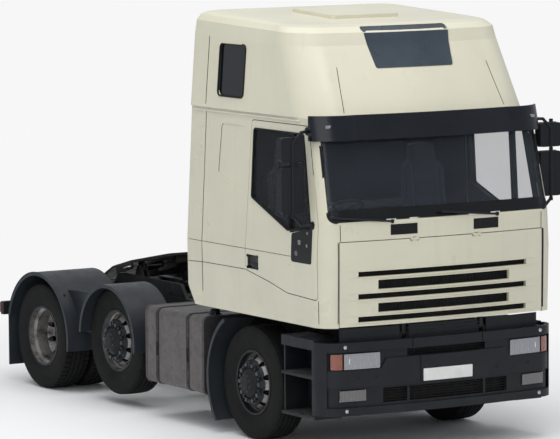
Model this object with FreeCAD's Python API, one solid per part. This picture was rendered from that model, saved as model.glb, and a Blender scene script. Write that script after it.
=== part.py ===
import FreeCAD, Part
import math
import os

# Three-axle tractor unit, in millimetres. Y runs from the bumper to the rear, X to the
# vehicle's own left, Z up from the road. Shapes are drawn about the front axle and moved
# at the end, so that the origin lies on the road under the middle of the bounding box.

V = FreeCAD.Vector
X_AXIS = V(1, 0, 0)
Y_AXIS = V(0, 1, 0)
Z_AXIS = V(0, 0, 1)
SIDES = (1, -1)

# Overall layout
FRONT_OVERHANG = 1480.0
MID_AXLE_Y = 2555.0
DRIVE_AXLE_Y = 3960.0
REAR_OVERHANG = 880.0
AXLE_LIFT = 100.0
SEAT_GAP = 0.4
RUN_GAP = 8.0
OVERRUN = 20.0

# Wheels and tyres
TYRE_R = 522.0
TYRE_W = 290.0
TREAD_W = 250.0
TREAD_SHOULDER = 14.0
BEAD_R = 288.0
BEAD_W = 232.0
SIDEWALL_R = 410.0
RIM_FLANGE_R = 298.0
RIM_FLANGE_H = 12.0
RIM_FLANGE_LEAN = 3.0
RIM_WELL_R = 262.0
RIM_WALL = 9.0
DISC_T = 12.0
BOLT_CIRCLE_R = 167.0
HAND_HOLE_R = 27.0
HAND_HOLES = 10
HUB_R = 125.0
HUB_NOSE_R = 82.0
NUTS = 10
NUT_R = 16.0
NUT_H = 28.0
FRONT_TYRE_X = 1012.0
MID_TYRE_X = 1000.0
DRIVE_OUTER_X = 1058.0
TWIN_PITCH = 332.0

# Frame
RAIL_OUTER_X = 425.0
RAIL_H = 262.0
RAIL_FLANGE = 78.0
RAIL_T = 8.0
RAIL_TOP_Z = 985.0
RAIL_FRONT_Y = -1110.0
RAIL_REAR_Y = 4700.0
CROSS_R = 45.0
CROSS_W = 120.0
CROSS_T = 10.0

# Axles, steering and springs
BEAM_W = 110.0
BEAM_H = 90.0
BEAM_Z_DROP = 70.0
KINGPIN_X = 845.0
KINGPIN_R = 26.0
KINGPIN_CLEAR = 0.5
EYE_R = 52.0
EYE_H = 120.0
FORK_T = 34.0
STUB_R = 42.0
STUB_CLEAR = 0.5
STEER_ARM_L = 190.0
STEER_ARM_W = 44.0
STEER_ARM_T = 24.0
TIE_ROD_R = 22.0
TIE_TUBE_R = 17.0
TIE_PIN_R = 12.0
TIE_EYE_R = 30.0
TIE_GAP = 4.0
DRIVE_TUBE_W = 130.0
DIFF_R = 215.0
DIFF_W = 300.0
DIFF_COVER_SHARE = 0.6
DRUM_R = 205.0
DRUM_W = 150.0
DRUM_GAP = 12.0
LEAF_W = 82.0
LEAF_T = 24.0
LEAF_HALF = 760.0
LEAF_CAMBER = 70.0
LEAVES = 3
LEAF_STEP_SHARE = 0.2
HANGER_W = 60.0
AIR_SPRING_R = 135.0
AIR_SPRING_Y_OFFSET = 360.0
TRAIL_ARM_H = 60.0
TRAIL_ARM_W = 84.0

# Engine, cooling and shafts
ENGINE_X = 335.0
ENGINE_FRONT_Y = -1010.0
ENGINE_REAR_Y = 190.0
ENGINE_BOTTOM_Z = 560.0
ENGINE_TOP_Z = 1345.0
GEARBOX_R = 205.0
GEARBOX_L = 780.0
GEARBOX_Z = 860.0
RADIATOR_X = 355.0
RADIATOR_FRONT_Y = -1240.0
RADIATOR_T = 110.0
RADIATOR_BOTTOM_Z = 620.0
RADIATOR_TOP_Z = 1330.0
SHAFT_R = 48.0
SHAFT_FLANGE_R = 90.0
SHAFT_FLANGE_T = 26.0

# Fifth wheel
FIFTH_Y = 3450.0
FIFTH_PIVOT_Z = 1178.0
FIFTH_TOP_RISE = 98.0
FIFTH_HALF_W = 445.0
FIFTH_FRONT_L = 340.0
FIFTH_REAR_L = 390.0
FIFTH_RAMP_L = 320.0
FIFTH_RAMP_DROP = 70.0
FIFTH_PLATE_T = 26.0
FIFTH_RIB_H = 62.0
FIFTH_RIB_T = 22.0
FIFTH_THROAT_W = 150.0
FIFTH_REST_DEG = 14.0
KING_BORE_R = 26.0
PIVOT_PIN_R = 24.0
PIVOT_CLEAR = 0.5
PIVOT_X = 330.0
PIVOT_LUG_T = 30.0
PIVOT_LUG_R = 46.0
BRACKET_T = 26.0
BRACKET_FOOT_L = 150.0
BRACKET_GAP = 2.0
FIFTH_BASE_T = 14.0
SUBFRAME_INNER_X = 379.0
SUBFRAME_OUTER_X = 415.0
SUBFRAME_TOP_Z = 1120.0
SUBFRAME_FRONT_Y = 2450.0
SUBFRAME_REAR_Y = 3900.0
SUBFRAME_SLOPE = 110.0
NAVE_R = 200.0
HUB_BOLT_R = 140.0
STUB_END = 18.0
CONVEX_FACE = 146.0
CONVEX_DISH = 62.0
DRUM_BACK = 195.0
FRONT_NOSE = 62.0
DRIVE_NOSE = 96.0
AXLE_STUB_R = 58.0
RUN_SEAT = 0.5
MID_TUBE_H = 110.0
MID_CRANK = 150.0
MID_CRANK_X_OUT = 600.0
MID_CRANK_X_IN = 470.0
PINION_NOSE = 110.0
PINION_Z = 560.0

# Tank, boxes and mudguards
TANK_FRONT_Y = 715.0
TANK_REAR_Y = 1800.0
TANK_OUTER_X = 1238.0
TANK_INNER_X = 560.0
TANK_TOP_Z = 1051.0
TANK_BOTTOM_Z = 330.0
TANK_EDGE_R = 60.0
STRAP_W = 48.0
STRAP_T = 5.0
STRAP_Y_SHARES = (0.27, 0.79)
ARM_T = 40.0
BOX_FRONT_Y = 715.0
BOX_REAR_Y = 1270.0
BOX_TOP_Z = 1030.0
BOX_BOTTOM_Z = 400.0
BOX_OUTER_X = 1200.0
BOX_EDGE_R = 30.0
SILENCER_FRONT_Y = 1300.0
SILENCER_REAR_Y = 1850.0
SILENCER_R = 290.0
SILENCER_X = 860.0
SILENCER_Z = 700.0
FRONT_GUARD_X_IN = 905.0
MID_GUARD_X_IN = 800.0
DRIVE_GUARD_X_IN = 590.0
GUARD_X_OUT = 1246.0
GUARD_R = 622.0
GUARD_T = 14.0
GUARD_LIP = 34.0
GUARD_REAR_DEG = 14.0
GUARD_FRONT_DEG = 188.0
MID_GUARD_R = 536.0
MID_GUARD_FRONT_DEG = 186.0
FRONT_GUARD_R = 645.0
FRONT_GUARD_TOP_DEG = 58.0
FRONT_GUARD_LOW_DEG = -38.0
FLAP_T = 10.0
FLAP_BOTTOM_Z = 170.0
STAY_R = 20.0
REAR_BAR_Z = 720.0
REAR_BAR_H = 130.0
REAR_BAR_T = 60.0
REAR_LAMP_X_OUT = 1215.0
REAR_LAMP_W = 360.0
REAR_LAMP_H = 105.0
REAR_LAMP_T = 45.0
DECK_FRONT_Y = 1170.0
DECK_REAR_Y = 2330.0
DECK_T = 12.0
DECK_X = 400.0

# Bumper and steps
BUMPER_HALF = 1248.0
BUMPER_BOTTOM_Z = 380.0
BUMPER_TOP_Z = 1030.0
BUMPER_SIDE_Y = -1180.0
BUMPER_FLAT_X = 1040.0
BUMPER_SAG = 66.0
BUMPER_T = 34.0
RECESS_DEEP = 22.0
RECESS_TOP_Z = 948.0
RECESS_BOTTOM_Z = 452.0
RECESS_HALF = 1192.0
BEAM_STEP = 8.0
BEAM_TOP_Z = 785.0
BEAM_BOTTOM_Z = 628.0
SHOULDER_FOOT_X = 690.0
SHOULDER_HEAD_X = 635.0
SHOULDER_TOP_Z = 872.0
PLATE_BLOCK_HALF = 285.0
INTAKE_TOP_Z = 608.0
INTAKE_BOTTOM_Z = 478.0
INTAKE_XS_SHARES = ((-0.53, -0.335), (-0.315, 0.315), (0.335, 0.53))
UPPER_INTAKE_HALF = 415.0
UPPER_INTAKE_BOTTOM_Z = 876.0
UPPER_INTAKE_TOP_Z = 940.0
LEDGE_SPLIT_X = 372.0
LEDGE_GROOVE_W = 8.0
LEDGE_GROOVE_DEEP = 12.0
HEADLAMP_X_IN = 698.0
HEADLAMP_X_OUT = 1050.0
HEADLAMP_TOP_Z = 930.0
HEADLAMP_BOTTOM_Z = 792.0
INDICATOR_X_IN = 1066.0
INDICATOR_X_OUT = 1160.0
FOG_X_IN = 838.0
FOG_X_OUT = 1090.0
FOG_TOP_Z = 604.0
FOG_BOTTOM_Z = 508.0
LAMP_DEPTH = 70.0
LAMP_GAP = 3.0
STEP_REAR_Y = -625.0
STEP_TOP_Z = 1040.0
STEP_BOTTOM_Z = 330.0
STEP_OUTER_X = 1222.0
STEP_INNER_X = 935.0
STEP_WALL = 20.0
TREAD_Z = 690.0
TREAD_T = 26.0
STEP_HEAD_H = 90.0

# Cab shell: stations from the sill to the roof
WALL = 50.0
PANEL_GAP = 7.0
DOOR_SWEEP_GAP = 14.0
CAB_BOTTOM_Z = 1160.0
CAB_BOTTOM_HALF = 1235.0
CAB_BOTTOM_FRONT_Y = -1440.0
CREASE_Z = 1760.0
CREASE_HALF = 1243.0
CREASE_FRONT_Y = -1450.0
BELT_Z = 2078.0
BELT_HALF = 1226.0
BELT_FRONT_Y = -1448.0
GUTTER_Z = 2990.0
GUTTER_HALF = 1178.0
GUTTER_FRONT_Y = -1215.0
FRONT_SAG = 61.0
FRONT_FLAT_X = 1080.0
CORNER_BACK = 255.0
GUTTER_CORNER_BACK = 215.0
CAB_REAR_Y = 1040.0
REAR_CORNER_R = 70.0
REAR_SEAM_Y = 722.0
REAR_CHAMFER_TOP_Z = 1414.0
REAR_CHAMFER_BOTTOM_Y = 850.0
CORNER_SHARE = 0.7071

# Roof shell
ROOF_HALF = 1190.0
ROOF_FRONT_Y = -1200.0
ROOF_FLAT_X = 820.0
ROOF_SAG = 60.0
ROOF_CORNER_BACK = 400.0
ROOF_CREASE_Z = 3605.0
ROOF_CREASE_RISE = 50.0
ROOF_CREASE_HALF = 1138.0
ROOF_CREASE_FRONT_Y = -868.0
ROOF_WALL = 36.0
ROOF_EDGE_DROP_SHARES = (0.6, 0.86, 0.96, 1.0)
ROOF_EDGE_IN_SHARES = (0.07, 0.24, 0.5, 0.9)
ROOF_SHOULDER_SIDE = 230.0
ROOF_SHOULDER_FRONT = 480.0
ROOF_SHOULDER_REAR = 90.0
ROOF_PANEL_BOTTOM_Z = 3395.0
ROOF_PANEL_TOP_Z = 3765.0
ROOF_PANEL_BOTTOM_HALF = 415.0
ROOF_PANEL_TOP_HALF = 463.0
ROOF_PANEL_T = 6.0
ROOF_WINDOW_FRONT_Y = 85.0
ROOF_WINDOW_REAR_Y = 518.0
ROOF_WINDOW_TOP_Z = 3586.0
ROOF_WINDOW_BOTTOM_Z = 3115.0
ROOF_WINDOW_R = 45.0
HATCH_HALF_X = 360.0
HATCH_FRONT_Y = -150.0
HATCH_REAR_Y = 560.0
HATCH_T = 30.0
HATCH_LIP = 34.0

# Front panels
GRILLE_HALF = 1080.0
GRILLE_BOTTOM_Z = 1166.0
GRILLE_TOP_Z = 1916.0
GRILLE_T = 34.0
SLOT_LONG_HALF = 898.0
SLOT_SHORT_HALF = 700.0
SLOT_TOPS = (1650.0, 1568.0, 1452.0, 1362.0, 1250.0)
SLOT_HEIGHTS = (46.0, 82.0, 48.0, 80.0, 48.0)
GRILLE_HINGE_X = 330.0
GRILLE_HINGE_Y = -1444.0
GRILLE_HINGE_Z = 1914.0
GRILLE_PIN_R = 5.0
GRILLE_KNUCKLE_R = 11.0
GRILLE_KNUCKLE_L = 40.0
GRILLE_PIN_CLEAR = 0.4
FIREWALL_T = 30.0
FIREWALL_BACK = 60.0
SCREEN_BOTTOM_Z = 2092.0
SCREEN_TOP_Z = 2915.0
SCREEN_BOTTOM_HALF = 1165.0
SCREEN_TOP_HALF = 1135.0
SCREEN_CORNER_R = 70.0
SCREEN_T = 8.0
SCREEN_DEPTH = 10.0
VENT_IN_X = 304.0
VENT_OUT_X = 572.0
VENT_TOP_Z = 2052.0
VENT_BOTTOM_Z = 1962.0
VENT_DEEP = 14.0
VISOR_TOP_Z = 3020.0
VISOR_BOTTOM_Z = 2800.0
VISOR_T = 12.0
VISOR_END_Y = -1090.0
VISOR_HALF = 1215.0
BUMPER_CUT = 320.0
INSET_FLAT_SHARE = 0.5
VALANCE_BACK = 70.0
VALANCE_T = 10.0
VALANCE_TOP_Z = 1148.0
VALANCE_HALF = 1055.0
LENS_PROUD = 4.0
STEP_REAR_IN = 30.0
STAY_DEG = 45.0
FRONT_STAY_DEG = 34.0
WEB_TOP_DEG = 51.0
WEB_X = 1100.0
WEB_BOTTOM_Z = 640.0
MID_GUARD_REAR_DEG = 4.0
LAMP_EDGE_R = 12.0
RADIATOR_FOOT = 60.0
TRAIL_REACH = 520.0
CROSS_MID_BACK = 340.0
BELLOWS_WAIST_SHARE = 0.7
BELLOWS_SHARES = (0.25, 0.75)
FIFTH_NOSE_SHARE = 0.45
FIFTH_CORNER_R = 60.0
JAW_L = 70.0
CHEEK_FOOT_SHARE = 0.8

# Doors, in side view
DOOR_FRONT_Y = -1262.0
DOOR_FRONT_TOP_Y = -1055.0
DOOR_REAR_Y = -50.0
DOOR_REAR_TOP_Y = -85.0
DOOR_TOP_Z = 2925.0
DOOR_BOTTOM_FRONT_Z = 1404.0
DOOR_BOTTOM_MID_Z = 1425.0
DOOR_BOTTOM_MID_Y = -763.0
DOOR_BOTTOM_RISE_Y = -452.0
DOOR_BOTTOM_RISE_Z = 1497.0
DOOR_BOTTOM_REAR_Z = 1570.0
WINDOW_TOP_Z = 2850.0
WINDOW_TOP_FRONT_Y = -975.0
WINDOW_FRONT_Y = -1150.0
WINDOW_FRONT_Z = 2030.0
WINDOW_LOW_Y = -812.0
WINDOW_LOW_Z = 1968.0
WINDOW_REAR_LOW_Z = 2232.0
WINDOW_REAR_Y = -130.0
WINDOW_R = 28.0
GLASS_T = 5.0
GLASS_DEPTH = 14.0
QUARTER_BAR_Y = -790.0
QUARTER_BAR_W = 26.0
HANDLE_Y_FRONT = -272.0
HANDLE_Y_REAR = -77.0
HANDLE_TOP_Z = 1712.0
HANDLE_BOTTOM_Z = 1584.0
HANDLE_DEEP = 18.0
EMBOSS_DEEP = 5.0
EMBOSS_FRONT_Y = 42.0
EMBOSS_REAR_TOP_Y = 441.0
EMBOSS_REAR_LOW_Y = 473.0
EMBOSS_TOP_Z = 2860.0
EMBOSS_REAR_LOW_Z = 2409.0
EMBOSS_FRONT_LOW_Z = 2280.0
EMBOSS_R = 40.0

# Mirrors
MIRROR_X = 1385.0
MIRROR_W = 230.0
MIRROR_DEPTH = 90.0
MIRROR_UPPER_TOP_Z = 2840.0
MIRROR_UPPER_BOTTOM_Z = 2620.0
MIRROR_LOWER_TOP_Z = 2580.0
MIRROR_LOWER_BOTTOM_Z = 2170.0
MIRROR_EDGE_R = 30.0
MIRROR_ARM_R = 14.0
MIRROR_ARM_TOP_Z = 2880.0
MIRROR_ARM_LOW_Z = 2060.0
MIRROR_ARM_BEND = 90.0

# Cab inside
FLOOR_Z = 1440.0
FLOOR_T = 40.0
TUNNEL_HALF = 430.0
TUNNEL_TOP_Z = 1590.0
TUNNEL_REAR_Y = 260.0
DASH_TOP_Z = 2050.0
DASH_BOTTOM_Z = 1700.0
DASH_DEPTH = 430.0
DASH_HALF = 1120.0
SEAT_X = 720.0
SEAT_W = 500.0
SEAT_FRONT_Y = -600.0
SEAT_DEPTH = 500.0
SEAT_CUSHION_T = 150.0
SEAT_TOP_Z = 1900.0
SEAT_BACK_T = 140.0
SEAT_BACK_TOP_Z = 2640.0
SEAT_BACK_LEAN = 90.0
SEAT_PLINTH_HALF = 190.0
BUNK_FRONT_Y = 330.0
BUNK_REAR_GAP = 12.0
BUNK_TOP_Z = 2020.0
BUNK_CUSHION_T = 130.0
BUNK_HALF = 1120.0
WHEEL_SIDE = -1
STEERING_R = 225.0
STEERING_RIM_R = 16.0
STEERING_Y = -800.0
STEERING_Z = 2110.0
STEERING_TILT_DEG = 35.0
COLUMN_R = 40.0
COLUMN_GAP = 0.5
STEERING_HUB_R = 70.0
STEERING_HUB_T = 50.0
SPOKE_R = 13.0
SPOKES = 4

# Cab tilt hinge
TILT_Y = -1364.0
TILT_Z = 1076.0
TILT_X = 415.0
TILT_PIN_R = 15.0
TILT_LUG_R = 26.0
TILT_LUG_T = 36.0
TILT_PIN_CLEAR = 0.4
CHEEK_T = 16.0
CHEEK_GAP = 6.0
REAR_MOUNT_Y = 900.0
REAR_MOUNT_R = 55.0
SIDE_NEAR_X = 1000.0
SIDE_FAR_X = 1320.0
DOOR_R = 35.0
FIREWALL_HALF = 1110.0
SCREEN_REACH = 380.0
LUG_REAR_Y = -1316.0
ROOF_TOP_FRONT_Z = 3790.0
ROOF_TOP_REAR_Z = 3865.0
VISOR_BACK = 190.0
VISOR_BOTTOM_Y = -1352.0
VISOR_TOP_Y = -1290.0
VISOR_BRACKET_SHARES = (-0.9, -0.32, 0.32, 0.9)
VISOR_BRACKET_H = 30.0
WIPER_X = 560.0
WIPER_L = 620.0
WIPER_R = 9.0
WIPER_Z = 2082.0
WIPER_RISE = 60.0
MIRROR_TOP_FOOT_Y = -1030.0
MIRROR_LOW_FOOT_Y = -1175.0
MIRROR_ARM_Y = -1105.0
FLOOR_FRONT_Y = -1300.0
SEAT_PLINTH_IN = 110.0
DASH_FRONT_IN = 60.0
DASH_KNEE = 110.0
COLUMN_L = 300.0
COLUMN_SHAFT_R = 16.0
CHEEK_LOW_Z = 760.0
CHEEK_REAR_Y = -1180.0


def box(x0, x1, y0, y1, z0, z1):
    low = V(min(x0, x1), min(y0, y1), min(z0, z1))
    return Part.makeBox(abs(x1 - x0), abs(y1 - y0), abs(z1 - z0), low)


def rod(radius, start, end):
    return Part.makeCylinder(radius, (end - start).Length, start, end - start)


def polygon(points):
    return Part.Face(Part.makePolygon(list(points) + [points[0]]))


def rounded(points, radius):
    """Closed outline through the points, each corner turned by an arc of the given radius."""
    edges = []
    last = None
    first = None
    count = len(points)
    for i in range(count):
        here = points[i]
        back = points[i - 1] - here
        ahead = points[(i + 1) % count] - here
        half_turn = back.getAngle(ahead) / 2
        reach = radius / math.tan(half_turn)
        reach = min(reach, back.Length / 2.1, ahead.Length / 2.1)
        back.normalize()
        ahead.normalize()
        start = here + back * reach
        end = here + ahead * reach
        bisector = back + ahead
        bisector.normalize()
        actual = reach * math.tan(half_turn)
        middle = here + bisector * (actual / math.sin(half_turn) - actual)
        if last is not None:
            edges.append(Part.LineSegment(last, start).toShape())
        else:
            first = start
        edges.append(Part.Arc(start, middle, end).toShape())
        last = end
    edges.append(Part.LineSegment(last, first).toShape())
    return Part.Face(Part.Wire(edges))


def side_prism(points, x0, x1, radius=0):
    """Prism of a side-view outline, given as (y, z) pairs, from x0 to x1."""
    corners = [V(x0, y, z) for y, z in points]
    face = rounded(corners, radius) if radius else polygon(corners)
    return face.extrude(V(x1 - x0, 0, 0))


def front_prism(points, y0, y1, radius=0):
    """Prism of a front-view outline, given as (x, z) pairs, from y0 to y1."""
    corners = [V(x, y0, z) for x, z in points]
    face = rounded(corners, radius) if radius else polygon(corners)
    return face.extrude(V(0, y1 - y0, 0))


def plan_prism(points, z0, z1, radius=0):
    """Prism of a plan-view outline, given as (x, y) pairs, from z0 to z1."""
    corners = [V(x, y, z0) for x, y in points]
    face = rounded(corners, radius) if radius else polygon(corners)
    return face.extrude(V(0, 0, z1 - z0))


def mirrored(shape):
    return shape.mirror(V(0, 0, 0), X_AXIS)


def on_side(shape, side):
    """The shape drawn for the left side, or its mirror image for the right side."""
    return shape if side > 0 else mirrored(shape)


def fused(shapes):
    whole = shapes[0]
    if len(shapes) > 1:
        whole = whole.fuse(shapes[1:])
    return whole.removeSplitter()


def turned(shape, centre, axis, degrees):
    copy = shape.copy()
    copy.rotate(centre, axis, degrees)
    return copy


def spun(points, centre_y, centre_z):
    """Solid turned about a wheel's axle line from (x, radius) pairs."""
    outline = polygon([V(x, centre_y, centre_z + r) for x, r in points])
    return outline.revolve(V(0, centre_y, centre_z), X_AXIS, 360)


# Worked-out places
REAR_END_Y = DRIVE_AXLE_Y + REAR_OVERHANG
ORIGIN_Y = (REAR_END_Y - FRONT_OVERHANG) / 2
AXLE_Z = TYRE_R
MID_Z = TYRE_R + AXLE_LIFT
DRIVE_INNER_X = DRIVE_OUTER_X - TWIN_PITCH
TWIN_PLANE_X = (DRIVE_OUTER_X + DRIVE_INNER_X) / 2
RAIL_BOTTOM_Z = RAIL_TOP_Z - RAIL_H
RAIL_INNER_X = RAIL_OUTER_X - RAIL_FLANGE
SPRING_X = RAIL_OUTER_X - RAIL_FLANGE / 2
BEAM_Z = AXLE_Z - BEAM_Z_DROP


def save(node, shapes):
    """Writes one node's solids, moved to the origin under the middle of the box."""
    solids = []
    for shape in shapes:
        solids.extend(shape.Solids)
    whole = solids[0] if len(solids) == 1 else Part.makeCompound(solids)
    whole = whole.copy()
    whole.translate(V(0, -ORIGIN_Y, 0))
    whole.exportStep(os.path.join("parts", node + ".step"))


def ring_of(shape, count, y, z):
    """Copies of a shape, evenly turned about a wheel's axle line."""
    step = 360 / count
    return [turned(shape, V(0, y, z), X_AXIS, step * i) for i in range(count)]


def tyre(x, y, z):
    half_bead = BEAD_W / 2
    half_wide = TYRE_W / 2
    half_tread = TREAD_W / 2
    shoulder_x = (half_wide + half_tread) / 2
    shoulder_r = TYRE_R - TREAD_SHOULDER
    flank_r = (SIDEWALL_R + shoulder_r) / 2
    outline = [(half_bead, BEAD_R), (half_wide, SIDEWALL_R), (half_wide, flank_r),
               (shoulder_x, shoulder_r), (half_tread, TYRE_R)]
    outline = outline + [(-a, r) for a, r in reversed(outline)]
    return spun([(x + a, r) for a, r in outline], y, z)


def rim(x, y, z, disc_x, dish):
    """Drop-centre rim with its dished disc; dish is where the disc leaves the barrel."""
    seat = BEAD_W / 2 + SEAT_GAP
    edge = seat + RIM_FLANGE_H
    outer_r = BEAD_R - SEAT_GAP
    inner_r = outer_r - RIM_WALL
    well = BEAD_W / 4
    ledge = BEAD_W / 3
    top = seat + RIM_FLANGE_LEAN
    outside = [(edge, RIM_FLANGE_R), (top, RIM_FLANGE_R), (seat, outer_r), (ledge, outer_r),
               (well, RIM_WELL_R), (-well, RIM_WELL_R), (-ledge, outer_r),
               (-seat, outer_r), (-top, RIM_FLANGE_R), (-edge, RIM_FLANGE_R)]
    inside = [(-edge, inner_r), (-ledge, inner_r), (-well, RIM_WELL_R - RIM_WALL),
              (well, RIM_WELL_R - RIM_WALL), (ledge, inner_r), (edge, inner_r)]
    barrel = spun([(x + a, r) for a, r in outside + inside], y, z)
    half = DISC_T / 2
    root_r = RIM_WELL_R - RIM_WALL / 2
    disc = [(disc_x + half, HUB_BOLT_R), (disc_x + half, NAVE_R), (dish + half, root_r),
            (dish - half, root_r), (disc_x - half, NAVE_R), (disc_x - half, HUB_BOLT_R)]
    disc = spun(disc, y, z)
    hole_r = (NAVE_R + root_r) / 2
    reach = abs(disc_x - dish) + OVERRUN + DISC_T
    middle = (disc_x + dish) / 2
    hole = rod(HAND_HOLE_R, V(middle - reach, y, z + hole_r), V(middle + reach, y, z + hole_r))
    return [barrel, disc.cut(ring_of(hole, HAND_HOLES, y, z))]


def nuts(face_x, y, z):
    start = V(face_x, y, z + BOLT_CIRCLE_R)
    nut = rod(NUT_R, start, start + V(NUT_H, 0, 0))
    return ring_of(nut, NUTS, y, z)


def hub(face_x, y, z, drum_in, stub_r, nose):
    """Brake drum, hub barrel and nose cap, bored for the axle's stub."""
    drum_out = drum_in + DRUM_W
    bore = stub_r + STUB_CLEAR
    bore_end = face_x + STUB_END
    points = [(drum_in, bore), (drum_in, DRUM_R), (drum_out, DRUM_R), (drum_out, HUB_BOLT_R),
              (face_x, HUB_BOLT_R), (face_x + nose / 2, HUB_R), (face_x + nose, HUB_NOSE_R),
              (face_x + nose, 0), (bore_end, 0), (bore_end, bore)]
    return spun(points, y, z)


def single_wheel(node, x, y, z, side):
    face_x = x + CONVEX_FACE
    disc_x = face_x - DISC_T / 2
    pieces = rim(x, y, z, disc_x, x + CONVEX_DISH)
    pieces.append(hub(face_x, y, z, face_x - DRUM_BACK, STUB_R, FRONT_NOSE))
    pieces.extend(nuts(face_x, y, z))
    save("tyre_" + node, [on_side(tyre(x, y, z), side)])
    save("rim_" + node, [on_side(fused(pieces), side)])


def twin_wheel(node, y, z, side):
    face_x = TWIN_PLANE_X + DISC_T
    outer = rim(DRIVE_OUTER_X, y, z, face_x - DISC_T / 2, DRIVE_OUTER_X - CONVEX_DISH)
    inner = rim(DRIVE_INNER_X, y, z, face_x - DISC_T * 1.5, DRIVE_INNER_X + CONVEX_DISH)
    pieces = outer + inner
    drum_in = TWIN_PLANE_X - DRUM_BACK
    pieces.append(hub(face_x, y, z, drum_in, AXLE_STUB_R, DRIVE_NOSE))
    pieces.extend(nuts(face_x, y, z))
    tyres = [tyre(DRIVE_INNER_X, y, z), tyre(DRIVE_OUTER_X, y, z)]
    save("tyres_" + node, [on_side(one, side) for one in tyres])
    save("rims_" + node, [on_side(fused(pieces), side)])


def wheels():
    for side in SIDES:
        name = "left" if side > 0 else "right"
        single_wheel("front_" + name, FRONT_TYRE_X, 0, AXLE_Z, side)
        single_wheel("mid_" + name, MID_TYRE_X, MID_AXLE_Y, MID_Z, side)
        twin_wheel("drive_" + name, DRIVE_AXLE_Y, AXLE_Z, side)


def knuckle(side):
    """Fork round the beam's eye with its kingpin, stub axle and steering arm."""
    ear_z = EYE_H / 2 + RUN_SEAT
    top = AXLE_Z + ear_z + FORK_T
    low = AXLE_Z - ear_z - FORK_T
    pieces = [rod(KINGPIN_R, V(KINGPIN_X, 0, low), V(KINGPIN_X, 0, top))]
    web_x = KINGPIN_X + EYE_R + RUN_GAP
    for z in (AXLE_Z + ear_z, AXLE_Z - ear_z - FORK_T):
        pieces.append(rod(EYE_R, V(KINGPIN_X, 0, z), V(KINGPIN_X, 0, z + FORK_T)))
        pieces.append(box(KINGPIN_X, web_x, -EYE_R, EYE_R, z, z + FORK_T))
    pieces.append(box(web_x, web_x + FORK_T, -EYE_R, EYE_R, low, top))
    stub_end = FRONT_TYRE_X + CONVEX_FACE + STUB_END - RUN_GAP
    pieces.append(rod(STUB_R, V(web_x, 0, AXLE_Z), V(stub_end, 0, AXLE_Z)))
    arm_top = low + STEER_ARM_T
    half = STEER_ARM_W / 2
    pieces.append(box(KINGPIN_X - half, KINGPIN_X + half, 0, STEER_ARM_L, low, arm_top))
    pieces.append(rod(half, V(KINGPIN_X, STEER_ARM_L, low), V(KINGPIN_X, STEER_ARM_L, arm_top)))
    pin_low = low - TIE_GAP - TIE_ROD_R * 2
    pieces.append(rod(TIE_PIN_R, V(KINGPIN_X, STEER_ARM_L, pin_low), V(KINGPIN_X, STEER_ARM_L, low)))
    return on_side(fused(pieces), side)


def tie_rod():
    """Track rod under both steering arms, an eye round each arm's pin."""
    low = AXLE_Z - EYE_H / 2 - RUN_SEAT - FORK_T
    z = low - TIE_GAP - TIE_ROD_R
    pieces = [rod(TIE_TUBE_R, V(-KINGPIN_X, STEER_ARM_L, z), V(KINGPIN_X, STEER_ARM_L, z))]
    for x in (KINGPIN_X, -KINGPIN_X):
        eye = rod(TIE_EYE_R, V(x, STEER_ARM_L, z - TIE_ROD_R), V(x, STEER_ARM_L, z + TIE_ROD_R))
        pieces.append(eye)
    whole = fused(pieces)
    for x in (KINGPIN_X, -KINGPIN_X):
        start = V(x, STEER_ARM_L, z - TIE_ROD_R - OVERRUN)
        whole = whole.cut(rod(TIE_PIN_R + PIVOT_CLEAR, start, start + V(0, 0, TIE_ROD_R * 2 + OVERRUN * 2)))
    return whole


def front_beam():
    """Forged beam, dropped between the springs, with an upright eye at each end."""
    half = BEAM_H / 2
    drop_x = SPRING_X + LEAF_W
    up = [(-KINGPIN_X, AXLE_Z + half), (-drop_x, BEAM_Z + half), (drop_x, BEAM_Z + half),
          (KINGPIN_X, AXLE_Z + half), (KINGPIN_X, AXLE_Z - half), (drop_x, BEAM_Z - half),
          (-drop_x, BEAM_Z - half), (-KINGPIN_X, AXLE_Z - half)]
    whole = [front_prism(up, -BEAM_W / 2, BEAM_W / 2)]
    for side in SIDES:
        x = KINGPIN_X * side
        whole.append(rod(EYE_R, V(x, 0, AXLE_Z - EYE_H / 2), V(x, 0, AXLE_Z + EYE_H / 2)))
    whole = fused(whole)
    bores = []
    for side in SIDES:
        x = KINGPIN_X * side
        bores.append(rod(KINGPIN_R + KINGPIN_CLEAR, V(x, 0, AXLE_Z - EYE_H), V(x, 0, AXLE_Z + EYE_H)))
    clear_r = EYE_R + RUN_GAP - RUN_SEAT
    for side in SIDES:
        x = KINGPIN_X * side
        for z in (AXLE_Z + EYE_H / 2, AXLE_Z - EYE_H / 2 - FORK_T * 2):
            bores.append(rod(clear_r, V(x, 0, z), V(x, 0, z + FORK_T * 2)))
    return whole.cut(bores)


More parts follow.
